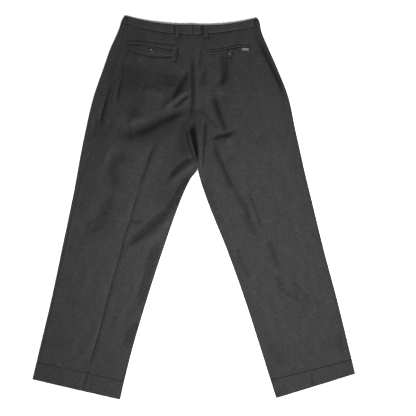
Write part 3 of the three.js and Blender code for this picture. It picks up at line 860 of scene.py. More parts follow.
@dataclass(frozen=True)
class WorstedWool:
    """Charcoal worsted wool: dark heathered yarn in a fine twill, which gives a soft matt face."""

    name: str = "charcoal worsted wool"
    dark: str = "1a191a"
    light: str = "323131"
    base: str = "252424"
    twill_mm: float = 1.6  # drawn coarser than the real 0.5 mm line so that it shows
    twill_degrees: float = 63.0
    heather_mm: float = 1.7
    streak_mm: float = 20.0
    roughness: float = 0.92
    darkest_painted_shade: float = 0.1  # share of its colour that the cloth keeps deep in a fold, as painted shade

    def build(self) -> bpy.types.Material:
        """Makes the material on the cloth's own UV map, which is in metres, with shade painted into its
        colour deep in the folds.

        Returns:
            The material.
        """
        material, tree = empty_material(self.name)
        uv = add_node(tree, "ShaderNodeUVMap", uv_map="cloth")
        slant = (0.0, 0.0, math.radians(self.twill_degrees))
        turned = add_node(tree, "ShaderNodeMapping", {"Vector": uv.outputs[0], "Rotation": slant})
        twill = add_node(
            tree, "ShaderNodeTexWave",
            {"Vector": turned.outputs[0], "Scale": 0.5 / (self.twill_mm * MM) / math.pi,
             "Distortion": 0.6, "Detail": 1.0},
            wave_type="BANDS", bands_direction="X", wave_profile="SIN",
        )
        stretch = add_node(
            tree, "ShaderNodeMapping", {"Vector": uv.outputs[0], "Scale": (1.0, 0.35, 1.0)}
        )
        yarn = add_node(
            tree, "ShaderNodeTexNoise",
            {"Vector": stretch.outputs[0], "Scale": 1 / (self.heather_mm * MM) / 2, "Detail": 3.0,
             "Roughness": 0.7},
        )
        # lighter and darker patches at random, drawn out along the leg
        mottle = add_node(
            tree, "ShaderNodeTexNoise",
            {"Vector": stretch.outputs[0], "Scale": 1 / (self.streak_mm * MM), "Detail": 3.0,
             "Roughness": 0.6},
        )
        colour = two_tone(tree, yarn.outputs["Fac"], (0.33, self.dark), (0.67, self.light))
        faded = add_node(
            tree, "ShaderNodeMix",
            {"Factor": 0.48, 6: colour, 7: srgb(self.base)}, data_type="RGBA"
        )
        lines = add_node(
            tree, "ShaderNodeMapRange",
            {"Value": twill.outputs["Fac"], "To Min": 0.9, "To Max": 1.08},
        )
        patches = add_node(
            tree, "ShaderNodeMapRange",
            {"Value": mottle.outputs["Fac"], "From Min": 0.3, "From Max": 0.7, "To Min": 0.88,
             "To Max": 1.12},
        )
        # painted shade: the colour is darkened by how deep in a fold each point of the mesh lies
        hollow = add_node(tree, "ShaderNodeAttribute", attribute_name="hollow", attribute_type="GEOMETRY")
        shade = add_node(
            tree, "ShaderNodeMapRange",
            {"Value": hollow.outputs["Fac"], "To Min": 1.0, "To Max": self.darkest_painted_shade}
        )
        both = add_node(
            tree, "ShaderNodeMath", {0: lines.outputs[0], 1: patches.outputs[0]}, operation="MULTIPLY"
        )
        both = add_node(
            tree, "ShaderNodeMath", {0: both.outputs[0], 1: shade.outputs[0]}, operation="MULTIPLY"
        )
        tinted = add_node(
            tree, "ShaderNodeVectorMath",
            {0: faded.outputs[2], "Scale": both.outputs[0]}, operation="SCALE"
        )
        relief = add_node(
            tree, "ShaderNodeMath", {0: twill.outputs["Fac"], 1: yarn.outputs["Fac"]}, operation="ADD"
        )
        bump = add_node(
            tree, "ShaderNodeBump", {"Height": relief.outputs[0], "Strength": 0.25, "Distance": 0.0004}
        )
        shader = add_node(
            tree, "ShaderNodeBsdfPrincipled",
            {"Base Color": tinted.outputs[0], "Roughness": self.roughness, "Specular IOR Level": 0.12,
             "Sheen Weight": 0.03, "Sheen Roughness": 0.5, "Normal": bump.outputs[0]},
        )
        shader.inputs["Sheen Tint"].default_value = srgb("b5b3b4")
        add_node(tree, "ShaderNodeOutputMaterial", {"Surface": shader.outputs[0]})
        return material


@dataclass(frozen=True)
class PolishedHorn:
    """Dark buffalo horn, turned and polished: brown streaks under a soft shine."""

    name: str = "polished dark horn"
    dark: str = "141110"
    streak: str = "2e2825"
    streak_mm: float = 2.2
    roughness: float = 0.42

    def build(self) -> bpy.types.Material:
        """Makes the material on Object coordinates.

        Returns:
            The material.
        """
        material, tree = empty_material(self.name)
        place = add_node(tree, "ShaderNodeTexCoord")
        pulled = add_node(
            tree, "ShaderNodeMapping", {"Vector": place.outputs["Object"], "Scale": (1.0, 0.3, 1.0)}
        )
        streaks = add_node(
            tree, "ShaderNodeTexNoise",
            {"Vector": pulled.outputs[0], "Scale": 1 / (self.streak_mm * MM), "Detail": 4.0,
             "Distortion": 0.8},
        )
        colour = two_tone(tree, streaks.outputs["Fac"], (0.45, self.dark), (0.75, self.streak))
        bump = add_node(
            tree, "ShaderNodeBump",
            {"Height": streaks.outputs["Fac"], "Strength": 0.1, "Distance": 0.0001}
        )
        shader = add_node(
            tree, "ShaderNodeBsdfPrincipled",
            {"Base Color": colour, "Roughness": self.roughness, "IOR": 1.54,
             "Normal": bump.outputs[0]},
        )
        add_node(tree, "ShaderNodeOutputMaterial", {"Surface": shader.outputs[0]})
        return material


@dataclass(frozen=True)
class WovenRib:
    """Narrow woven goods: fine ribs of polyester yarn with a faint satin shine."""

    name: str
    # rib colours: painted shade in the valleys and painted highlight on the crests
    rib_valley_shaded: str
    rib_crest_lit: str
    rib_mm: float
    roughness: float = 0.6

    def build(self) -> bpy.types.Material:
        """Makes the material on the piece's own UV map, which is in metres.

        Returns:
            The material.
        """
        material, tree = empty_material(self.name)
        uv = add_node(tree, "ShaderNodeUVMap", uv_map="cloth")
        ribs = add_node(
            tree, "ShaderNodeTexWave",
            {"Vector": uv.outputs[0], "Scale": 0.5 / (self.rib_mm * MM) / math.pi, "Distortion": 0.8,
             "Detail": 2.0},
            wave_type="BANDS", bands_direction="Y", wave_profile="SIN",
        )
        picks = add_node(
            tree, "ShaderNodeTexNoise",
            {"Vector": uv.outputs[0], "Scale": 0.7 / (self.rib_mm * MM), "Detail": 3.0}
        )
        mixed = add_node(
            tree, "ShaderNodeMath", {0: ribs.outputs["Fac"], 1: picks.outputs["Fac"]}, operation="ADD"
        )
        half = add_node(tree, "ShaderNodeMath", {0: mixed.outputs[0], 1: 0.5}, operation="MULTIPLY")
        # painted shade and highlight: darker in the rib valleys, lighter on the crests, with random speckle
        # from the picks
        colour = two_tone(tree, half.outputs[0], (0.2, self.rib_valley_shaded), (0.7, self.rib_crest_lit))
        bump = add_node(
            tree, "ShaderNodeBump", {"Height": half.outputs[0], "Strength": 0.4, "Distance": 0.0002}
        )
        shader = add_node(
            tree, "ShaderNodeBsdfPrincipled",
            {"Base Color": colour, "Roughness": self.roughness, "Specular IOR Level": 0.3,
             "Normal": bump.outputs[0]},
        )
        add_node(tree, "ShaderNodeOutputMaterial", {"Surface": shader.outputs[0]})
        return material


@dataclass(frozen=True)
class SewingThread:
    """Core-spun polyester thread with a slight twist, a little shinier than the wool."""

    name: str = "charcoal sewing thread"
    dark: str = "1b1a1b"
    light: str = "454344"
    twist_mm: float = 0.5
    roughness: float = 0.55

    def build(self) -> bpy.types.Material:
        """Makes the material on Object coordinates.

        Returns:
            The material.
        """
        material, tree = empty_material(self.name)
        place = add_node(tree, "ShaderNodeTexCoord")
        twist = add_node(
            tree, "ShaderNodeTexNoise",
            {"Vector": place.outputs["Object"], "Scale": 1 / (self.twist_mm * MM), "Detail": 2.0},
        )
        colour = two_tone(tree, twist.outputs["Fac"], (0.0, self.dark), (1.0, self.light))
        bump = add_node(
            tree, "ShaderNodeBump", {"Height": twist.outputs["Fac"], "Strength": 0.3, "Distance": 0.0001}
        )
        shader = add_node(
            tree, "ShaderNodeBsdfPrincipled",
            {"Base Color": colour, "Roughness": self.roughness, "Specular IOR Level": 0.3,
             "Normal": bump.outputs[0]},
        )
        add_node(tree, "ShaderNodeOutputMaterial", {"Surface": shader.outputs[0]})
        return material


# ---- Making meshes -----------------------------------------------------------------------------


@dataclass
class SewnCloth:
    """A thin shell of cloth made from a grid of points on its outer skin."""

    name: str
    grid: np.ndarray
    wall: float
    ring: bool = False
    edge: float = 0.0  # rounding of a small piece's edges

    @property
    def area(self) -> float:
        """Area of the outer skin in square metres.

        Returns:
            The area.
        """
        a = self.grid[:-1, :-1] * MM
        b = self.grid[:-1, 1:] * MM
        c = self.grid[1:, 1:] * MM
        d = self.grid[1:, :-1] * MM
        halves = [np.cross(b - a, c - a), np.cross(c - a, d - a)]
        return float(sum(np.linalg.norm(half, axis=-1).sum() / 2 for half in halves))

    @property
    def cut(self) -> tuple[float, float]:
        """Width and length in metres of the rectangle that the shown cloth is cut from.

        Returns:
            Width and length.
        """
        flat = self.cloth_map()
        width = float(np.ptp(flat[..., 0]))
        length = max(float(np.ptp(flat[..., 1])), self.area / width)
        return max(width, LEAST_CUT), max(length, LEAST_CUT)

    def cloth_map(self) -> np.ndarray:
        """Places on the flat cloth in metres, across and along, for every grid point.

        Returns:
            The places, across and along last.
        """
        across = np.linalg.norm(np.diff(self.grid, axis=1), axis=-1)
        u = np.concatenate([np.zeros((len(self.grid), 1)), np.cumsum(across, axis=1)], axis=1)
        u -= u[:, u.shape[1] // 2][:, None]
        middle = self.grid[:, self.grid.shape[1] // 2]
        v = np.concatenate([[0.0], np.cumsum(np.linalg.norm(np.diff(middle, axis=0), axis=-1))])
        return np.stack([u, np.broadcast_to(v[:, None], u.shape)], axis=-1) * MM

    def painted_shade_map(self) -> np.ndarray:
        """How deep in a fold every grid point lies, from 0 to 1: the painted shade that darkens its colour.
        """
        x, y, z = np.moveaxis(self.grid, -1, 0)
        return np.clip(-FIELD.height(x, y) / FULL_PAINTED_SHADE_DEPTH, 0, 1) ** PAINTED_SHADE_CURVE * (z > PANEL.fold_height / 2)

    def build(self, material: bpy.types.Material) -> bpy.types.Object:
        """Makes the mesh object.

        Args:
            material: the finish.

        Returns:
            The object, with its place in its mesh.
        """
        row_count, column_count = self.grid.shape[:2]
        mesh = bpy.data.meshes.new(self.name)
        work = bmesh.new()
        bmesh.ops.create_grid(work, x_segments=column_count - 1, y_segments=row_count - 1, size=0.5)
        layer = work.loops.layers.uv.new("cloth")
        # painted shade: each point carries how far its colour is darkened deep in a fold
        hollow = work.verts.layers.float.new("hollow")
        flat = self.cloth_map()
        deep = self.painted_shade_map()
        index = {}
        for vert in work.verts:
            column = round((vert.co.x + 0.5) * (column_count - 1))
            row = round((0.5 - vert.co.y) * (row_count - 1))
            index[vert] = (row, column)
            vert[hollow] = deep[row, column]
            x, y, z = self.grid[row, column]
            vert.co = Vector((x * MM, (y - MIDDLE_Y) * MM, z * MM))
        for face in work.faces:
            for loop in face.loops:
                loop[layer].uv = flat[index[loop.vert]]
        if self.ring:
            bmesh.ops.remove_doubles(work, verts=work.verts, dist=1e-6)
        self.face_out(work)
        work.to_mesh(mesh)
        work.free()
        made = bpy.data.objects.new(self.name, mesh)
        bpy.context.collection.objects.link(made)
        made.data.materials.append(material)
        made.data.shade_smooth()
        shell = made.modifiers.new("wall", "SOLIDIFY")
        shell.thickness = self.wall * MM
        shell.offset = -1.0
        shell.use_rim = True
        if self.edge:
            soft = made.modifiers.new("soft edges", "BEVEL")
            soft.width = self.edge * MM
            soft.segments = 2
            soft.limit_method = "ANGLE"
            soft.angle_limit = math.radians(50)
        return made

    @staticmethod
    def face_out(work: bmesh.types.BMesh) -> None:
        """Turns the faces so that the highest ones look up.

        Args:
            work: the mesh in work.
        """
        highest = max(work.faces, key=lambda face: face.calc_center_median().z)
        highest.normal_update()
        if highest.normal.z < 0:
            bmesh.ops.reverse_faces(work, faces=work.faces)


def finish_piece(made: bpy.types.Object, nodes: Sequence[str]) -> None:
    """Rides a piece on the body, in place of its CAD nodes.

    Args:
        made: the piece.
        nodes: the nodes that it replaces, if any.
    """
    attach(made, BODY)
    if nodes:
        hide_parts(*nodes)
    LOG.info("%s: %d faces", made.name, len(made.data.polygons))


def finish_sheet(
    cloth: SewnCloth, material: bpy.types.Material, node: str
) -> None:
    """Builds a piece of cloth, rides it and states its cut.

    Args:
        cloth: the piece's grid and wall.
        material: its finish.
        node: the CAD node that it replaces.
    """
    made = cloth.build(material)
    finish_piece(made, [node])
    width, length = cloth.cut
    LOG.info("%s: cut %.0f x %.0f mm, %.4f m2", made.name, width / MM, length / MM, cloth.area)


class LaidTop:
    """The top of the cloth laid so far, for pieces that lie on it."""

    def __init__(self, cloths: Sequence[SewnCloth]) -> None:
        """Starts from the cloths below.

        Args:
            cloths: the cloths laid so far.
        """
        self.points: list[Vector] = []
        self.faces: list[tuple[int, int, int, int]] = []
        for cloth in cloths:
            self.add(cloth)

    def add(self, cloth: SewnCloth) -> None:
        """Lays one more cloth on top.

        Args:
            cloth: the cloth laid.
        """
        rows, columns = cloth.grid.shape[:2]
        start = len(self.points)
        self.points.extend(Vector(point) for point in cloth.grid.reshape(-1, 3))
        for row in range(rows - 1):
            for first in range(start + row * columns, start + (row + 1) * columns - 1):
                self.faces.append((first, first + 1, first + columns + 1, first + columns))
        self.tree = BVHTree.FromPolygons(self.points, self.faces)

    def height(self, x: float, y: float, reach: float = 0.0) -> float:
        """Finds the highest cloth at a place.

        Args:
            x: across the garment, millimetres.
            y: up the garment, millimetres.
            reach: how far around the place to look.

        Returns:
            Height in millimetres.
        """
        spots = [(0.0, 0.0)]
        if reach:
            spots += [(reach, 0.0), (-reach, 0.0), (0.0, reach), (0.0, -reach)]
        down = Vector((0.0, 0.0, -1.0))
        hits = [self.tree.ray_cast(Vector((x + dx, y + dy, LOOK_FROM)), down)[0] for dx, dy in spots]
        return max(hit.z for hit in hits if hit)


def lay_strip(
    top: LaidTop, low: np.ndarray, high: np.ndarray, across: int, wall: float, crown: float,
    lift: np.ndarray | float = 0.0, drop: float = 0.0,
) -> np.ndarray:
    """Lays a strip on the cloth below it.

    Args:
        top: the cloth below.
        low: one border's points.
        high: the other border's points.
        across: points from border to border.
        wall: the strip's thickness.
        crown: how far its middle swells.
        lift: how far each place along it stands off.
        drop: how much more its low border stands off than its high one.

    Returns:
        The grid of its upper skin.
    """
    shares = np.linspace(0, 1, across)
    spots = mix(low[:, None, :], high[:, None, :], shares[None, :, None])
    base = np.array([[top.height(x, y, STRIP_REACH) for x, y in row] for row in spots])
    swell = crown * (1 - (2 * shares - 1) ** 4) + drop * (1 - shares)
    height = base + STAND + wall + swell[None, :] + np.broadcast_to(lift, len(low))[:, None]
    return np.concatenate([spots, height[..., None]], axis=-1)


def strip_borders(
    table: Sequence[tuple[float, float, float]], steps: int
) -> tuple[np.ndarray, np.ndarray]:
    """Reads the low and high borders of a strip from rows of x, high and low.

    Args:
        table: the rows.
        steps: points along each border.

    Returns:
        The low border and the high one.
    """
    xs = np.linspace(table[0][0], table[-1][0], steps)
    columns = [through([row[0] for row in table], [row[place] for row in table], xs) for place in (2, 1)]
    low, high = (np.stack([xs, column], axis=1) for column in columns)
    return low, high


@dataclass(frozen=True)
class LaidStrip:
    """A small strip of cloth that replaces one node; its table gives x, high and low in each row."""

    node: str
    table: tuple[tuple[float, float, float], ...]
    along: int
    across: int
    wall: float
    crown: float
    edge: float = 0.3
    drop: float = 0.0
    slot: str = "wool"

    def borders(self) -> tuple[np.ndarray, np.ndarray]:
        """Its low border and its high one."""
        return strip_borders(self.table, self.along)

    def lay(self, top: LaidTop, material: bpy.types.Material, below: Sequence[str]) -> SewnCloth:
        """Lays the strip on the cloth below it.

        Args:
            top: the cloth below.
            material: the strip's finish.
            below: the pieces that it lies on; not used.

        Returns:
            The cloth laid, for what lies on it.
        """
        low, high = self.borders()
        grid = lay_strip(top, low, high, self.across, self.wall, self.crown, drop=self.drop)
        cloth = SewnCloth(f"{self.node}_cloth", grid, self.wall, edge=self.edge)
        finish_sheet(cloth, material, self.node)
        return cloth


@dataclass(frozen=True)
class StitchRun:
    """A run of stitches along a path; tacks and buttonholes are sewn across it."""

    path: tuple[tuple[float, float], ...]
    pitch: float = 2.8
    length: float = 2.0
    across: bool = False


@dataclass
class Stitching:
    """Machine stitches of one sub-assembly, all in one mesh."""

    name: str
    runs: tuple[StitchRun, ...]
    radius: float = 0.26

    def build(self, top: LaidTop, material: bpy.types.Material) -> None:
        """Sews every run on the cloth.

        Args:
            top: the cloth sewn.
            material: the thread.
        """
        work = bmesh.new()
        for run in self.runs:
            path = np.asarray(run.path, float)
            runs = np.hypot(*np.diff(path, axis=0).T)
            marks = np.concatenate([[0.0], np.cumsum(runs)])
            for at in np.arange(run.pitch / 2, marks[-1], run.pitch):
                x, y = (float(np.interp(at, marks, path[:, axis])) for axis in (0, 1))
                after = int(np.searchsorted(marks, at))
                step = path[min(after, len(path) - 1)] - path[after - 1]
                angle = math.atan2(step[1], step[0]) + (math.pi / 2 if run.across else 0.0)
                place = (x, y, top.height(x, y) + self.radius / 3)
                place_grain(work, place, angle, run.length / 2, self.radius)
        finish_piece(object_from(self.name, work, material), [])


def place_grain(
    work: bmesh.types.BMesh, place: tuple[float, float, float], angle: float, half: float, radius: float
) -> None:
    """Adds one stitch, a grain of thread, at a place in millimetres.

    Args:
        work: the mesh in work.
        place: the middle of the grain.
        angle: which way it runs, from straight across.
        half: half its length.
        radius: half its thickness.
    """
    x, y, z = place
    turn = Matrix.Translation(Vector((x, y - MIDDLE_Y, z)) * MM) @ Matrix.Rotation(angle, 4, "Z")
    stretch = Matrix.Diagonal((half * MM, radius * MM, radius * MM, 1.0))
    bmesh.ops.create_icosphere(work, subdivisions=1, radius=1.0, matrix=turn @ stretch)


def object_from(name: str, work: bmesh.types.BMesh, *materials: bpy.types.Material) -> bpy.types.Object:
    """Makes a smooth-shaded object from a bmesh and frees it.

    Args:
        name: the object's name.
        work: the finished bmesh.
        materials: its finishes, in the order of its faces' indices.

    Returns:
        The object.
    """
    mesh = bpy.data.meshes.new(name)
    work.to_mesh(mesh)
    work.free()
    made = bpy.data.objects.new(name, mesh)
    bpy.context.collection.objects.link(made)
    for material in materials:
        made.data.materials.append(material)
    made.data.shade_smooth()
    return made


# ---- Sub-assemblies ------------------------------------------------------------------------------


@dataclass(frozen=True)
class Finishes:
    """Every material of the garment."""

    wool: bpy.types.Material
    # lighter copy of the wool: painted light on the waistband and the belt loops
    pressed: bpy.types.Material
    horn: bpy.types.Material
    tab: bpy.types.Material
    tape: bpy.types.Material
    thread: bpy.types.Material


@dataclass
class Button:
    """A four-hole button with a rim, sewn on with two bars of thread."""

    name: str
    place: tuple[float, float]
    radius: float = 6.6
    thickness: float = 2.4
    turn: float = 0.3
    segments: int = 32
    well: float = 0.62  # depth of the dished middle
    hole_near: float = 0.15  # where a hole starts and ends, as shares of the radius
    hole_far: float = 0.38
    hole_spread: float = math.radians(24)  # half the angle that a hole takes
    hole_depth: float = 1.2
    thread_reach: float = 0.32  # half the length of a bar of thread, as a share of the radius
    thread_radius: float = 0.32
    thread_sink: float = 0.45  # how far below the rim the thread lies

    def profile(self) -> list[tuple[float, float]]:
        """Half section from the middle of the back to the middle of the face.

        Returns:
            Distances from the axis and heights.
        """
        r, t = self.radius, self.thickness
        rim = [(r - 0.8, 0.0), (r - 0.2, 0.25), (r, 0.8), (r, t - 0.9), (r - 0.3, t - 0.25), (r - 0.9, t)]
        dish = [(r - 1.6, t), (r - 2.3, t - 0.35), (self.hole_far * r, t - self.well + 0.02)]
        floor = [(self.hole_near * r, t - self.well), (0.0, t - self.well)]
        return [(0.0, 0.0), *rim, *dish, *floor]

    def build(self, base: float, finishes: Finishes) -> None:
        """Turns the button and bores its holes.

        Args:
            base: height of its back above the table.
            finishes: the garment's materials.
        """
        work = bmesh.new()
        verts = [work.verts.new((across * MM, 0.0, height * MM)) for across, height in self.profile()]
        edges = [work.edges.new(pair) for pair in zip(verts, verts[1:])]
        bmesh.ops.spin(
            work, geom=verts + edges, cent=(0, 0, 0), axis=(0, 0, 1), angle=math.tau, steps=self.segments,
            use_merge=True, use_duplicate=False,
        )
        bmesh.ops.remove_doubles(work, verts=work.verts, dist=1e-7)
        bmesh.ops.recalc_face_normals(work, faces=work.faces)
        self._holes(work)
        x, y = self.place
        shift = Matrix.Translation(Vector((x, y - MIDDLE_Y, base)) * MM)
        bmesh.ops.transform(work, verts=work.verts, matrix=shift @ Matrix.Rotation(self.turn, 4, "Z"))
        horn_faces = set(work.faces)
        self._thread(work, base)
        for face in work.faces:
            face.material_index = 0 if face in horn_faces else 1
        made = object_from(f"{self.name}_sewn", work, finishes.horn, finishes.thread)
        finish_piece(made, [self.name])

    def _holes(self, work: bmesh.types.BMesh) -> None:
        """Sinks four holes in the face of the button.

        Args:
            work: the turned button.
        """
        level = (self.thickness - 0.7) * MM
        near, far = self.hole_near * self.radius * MM, self.hole_far * self.radius * MM
        for corner in range(4):
            middle = QUARTER * (2 * corner + 1)
            faces = []
            for face in work.faces:
                centre = face.calc_center_median()
                away = math.hypot(centre.x, centre.y)
                turned = abs((math.atan2(centre.y, centre.x) - middle + math.pi) % math.tau - math.pi)
                if centre.z > level and near < away < far and turned < self.hole_spread:
                    faces.append(face)
            bmesh.ops.inset_region(work, faces=faces, thickness=0.12 * MM, depth=0.0)
            sunk = {vert for face in faces for vert in face.verts}
            bmesh.ops.translate(work, verts=list(sunk), vec=(0.0, 0.0, -self.hole_depth * MM))

    def _thread(self, work: bmesh.types.BMesh, base: float) -> None:
        """Lays two crossing bars of thread between the holes.

        Args:
            work: the button in work.
            base: height of its back above the table.
        """
        x, y = self.place
        for angle in (QUARTER + self.turn, 3 * QUARTER + self.turn):
            place = (x, y, base + self.thickness - self.thread_sink)
            place_grain(work, place, angle, self.thread_reach * self.radius, self.thread_radius)


@dataclass
class BeltLoop:
    """A narrow folded strip sewn over the waistband, foot below the seam."""

    name: str
    side: str
    head: tuple[float, float]
    foot: tuple[float, float]
    width: float = 8.5
    wall: float = 1.4
    arch: float = 1.6

    def build(self, top: LaidTop, finishes: Finishes) -> SewnCloth:
        """Lays the loop over the waistband.

        Args:
            top: the cloth below.
            finishes: the garment's materials.

        Returns:
            The cloth laid, for what lies on it.
        """
        shares = np.linspace(0, 1, 22)
        middle = mix(np.asarray(self.head)[None, :], np.asarray(self.foot)[None, :], shares[:, None])
        away = np.array([self.width / 2, 0.0])
        lift = self.arch * np.sin(np.pi * shares) ** 0.7
        grid = lay_strip(top, middle - away, middle + away, 9, self.wall, 0.5, lift)
        cloth = SewnCloth(f"{self.name}_cloth", grid, self.wall, edge=0.4)
        # the loop takes the lighter wool, painted light
        finish_sheet(cloth, finishes.pressed, self.name)
        return cloth

    def tacks(self) -> tuple[StitchRun, ...]:
        """Bar tacks at the head and the foot.

        Returns:
            One run of stitches for each end.
        """
        reach = 0.4 * self.width
        runs = []
        for (x, y), shift in ((self.head, -2.2), (self.foot, 2.2)):
            path = ((x - reach, y + shift), (x + reach, y + shift))
            runs.append(StitchRun(path, pitch=0.55, length=2.0, across=True))
        return tuple(runs)


BELT_LOOPS = (
    BeltLoop("loop_back_left", "left", (-50, 1067), (-49, 1036)),
    BeltLoop("loop_back_right", "right", (28, 1061), (34, 1036)),
    BeltLoop("loop_side_left", "left", (-194.5, 1086), (-204, 1059)),
    BeltLoop("loop_side_right", "right", (177.5, 1079), (184.5, 1056)),
)


@dataclass
class LeftBackPocket:
    """Welted mouth with a pointed flap that a button holds down."""

    button: Button
    welt: LaidStrip = LaidStrip(
        "pocket_left_welt",
        ((-190, 1021, 1012), (-167, 1021.5, 1011.5), (-142, 1018, 1009.5), (-110, 1013.5, 1004),
         (-91, 1010.5, 1000), (-52, 1007, 995)),
        along=60, across=8, wall=0.8, crown=0.35,
    )
    flap: LaidStrip = LaidStrip(
        "pocket_left_flap",
        ((-187, 1010, 1003), (-176, 1010.5, 993.5), (-142, 1008.5, 982.5), (-122, 1005.5, 977.5),
         (-91, 999, 976.5), (-63, 994.5, 977.5), (-55, 993.5, 982)),
        along=72, across=20, wall=1.0, crown=0.4, edge=0.35, drop=0.9,
    )
    hem_inset: float = 1.6
    tack: float = 0.6  # pitch of the stitches across an end

    def build(self, top: LaidTop, finishes: Finishes) -> None:
        """Lays the welt, the flap and the button, and stitches them.

        Args:
            top: the cloth below.
            finishes: the garment's materials.
        """
        top.add(self.welt.lay(top, finishes.wool, ["back_left_cloth"]))
        top.add(self.flap.lay(top, finishes.wool, ["back_left_cloth", "pocket_left_welt_cloth"]))
        inside = self.flap.borders()[0] + np.array([0.0, self.hem_inset])
        hem = tuple((float(x), float(y)) for x, y in inside[3:-2:3])
        hole = ((-133, 992.6), (-118, 991.2), (-118, 990.2), (-133, 991.6), (-133, 992.6))
        runs = (
            StitchRun(hem),
            StitchRun(((-188, 1011.5), (-186, 1002)), pitch=self.tack, across=True),
            StitchRun(((-54.5, 995), (-54, 981)), pitch=self.tack, across=True),
            StitchRun(hole, pitch=0.7, length=1.3, across=True),
        )
        Stitching("pocket_left_stitches", runs).build(top, finishes.thread)
        x, y = self.button.place
        self.button.build(top.height(x, y, 5.0) + STAND, finishes)


@dataclass
class RightBackPocket:
    """Double-jetted mouth with a button loop and a blank woven tab."""

    button: Button
    jet: LaidStrip = LaidStrip(
        "pocket_right_jet_upper",
        ((40, 994.5, 989.5), (85, 999.5, 994.5), (112, 1005, 1000), (135, 1009, 1004), (165, 1007, 1002.5)),
        along=60, across=8, wall=0.8, crown=0.5,
    )
    mouth: float = 0.9
    depth: float = 5.0
    loop: LaidStrip = LaidStrip(
        "pocket_right_loop", ((98, 996, 986), (104, 997, 986)), along=8, across=12, wall=0.8, crown=0.4
    )
    tab: LaidStrip = LaidStrip(
        "pocket_right_tab", ((136, 1001, 993.5), (155.5, 1000.5, 993)),
        along=26, across=12, wall=0.7, crown=0.25, edge=0.25, slot="tab",
    )
    tack: float = 0.6  # pitch of the stitches across an end
    tab_tack: float = 0.8

    def build(self, top: LaidTop, finishes: Finishes) -> None:
        """Lays the jets, the loop, the button and the tab, and stitches them.

        Args:
            top: the cloth below.
            finishes: the garment's materials.
        """
        mouth_rows = ((x, low - self.mouth, low - self.mouth - self.depth) for x, _, low in self.jet.table)
        lower = replace(self.jet, node="pocket_right_jet_lower", table=tuple(mouth_rows))
        jets = [jet.lay(top, finishes.wool, ["back_right_cloth"]) for jet in (self.jet, lower)]
        for jet in jets:
            top.add(jet)
        top.add(self.loop.lay(top, finishes.wool, ["pocket_right_jet_lower_cloth"]))
        top.add(self.tab.lay(top, finishes.tab, ["back_right_cloth", "pocket_right_jet_lower_cloth"]))
        runs = (
            StitchRun(((40.5, 995), (40.5, 983)), pitch=self.tack, across=True),
            StitchRun(((164.5, 1007.5), (164.5, 996.5)), pitch=self.tack, across=True),
            StitchRun(((137.2, 1000.5), (137.2, 994)), pitch=self.tab_tack, length=0.9, across=True),
            StitchRun(((154.3, 1000), (154.3, 993.5)), pitch=self.tab_tack, length=0.9, across=True),
        )
        Stitching("pocket_right_stitches", runs).build(top, finishes.thread)
        x, y = self.button.place
        self.button.build(top.height(x, y, 3.5) + STAND, finishes)


@dataclass
class Pleat:
    """The intake of a front pleat: cloth folded double between the layers."""

    name: str
    x: float
    y: float
    depth: float
    length: float
    side: str
    base: float = 1.4
    height: float = 2.4
    wall: float = 1.0
    steps: int = 8  # points across each of its two layers

    def build(self, finishes: Finishes) -> None:
        """Folds the intake on the inside of the front panel.

        Args:
            finishes: the garment's materials.
        """
        shares = np.linspace(0, 1, 26)
        reach = self.depth * np.interp(shares, [0, 0.7, 1], [1, 0.38, 0.1])
        sign = math.copysign(1.0, self.depth)
        radius = self.height / 2
        flat = np.linspace(0, 1, self.steps)
        angles = np.radians(np.linspace(-90, 90, 7)[1:-1])
        rows = []
        for share, far in zip(shares, reach):
            end = abs(far) - radius if abs(far) > 2 * radius else radius
            across = np.concatenate([flat * end, end + radius * np.cos(angles), flat[::-1] * end])
            bend = radius + radius * np.sin(angles)
            level = np.concatenate([0 * flat, bend, np.full(self.steps, self.height)])
            ys = np.full(len(across), self.y - share * self.length)
            rows.append(np.stack([self.x + sign * across, ys, self.base + level], axis=1))
        cloth = SewnCloth(f"{self.name}_cloth", np.array(rows), self.wall)
        finish_sheet(cloth, finishes.wool, self.name)


PLEATS = (
    Pleat("pleat_left_1", -104, 1038, -34, 144, "left"),
    Pleat("pleat_left_2", -156, 1048, -20, 106, "left"),
    Pleat("pleat_right_1", 88, 1036, 34, 146, "right"),
    Pleat("pleat_right_2", 134, 1042, 20, 106, "right"),
)


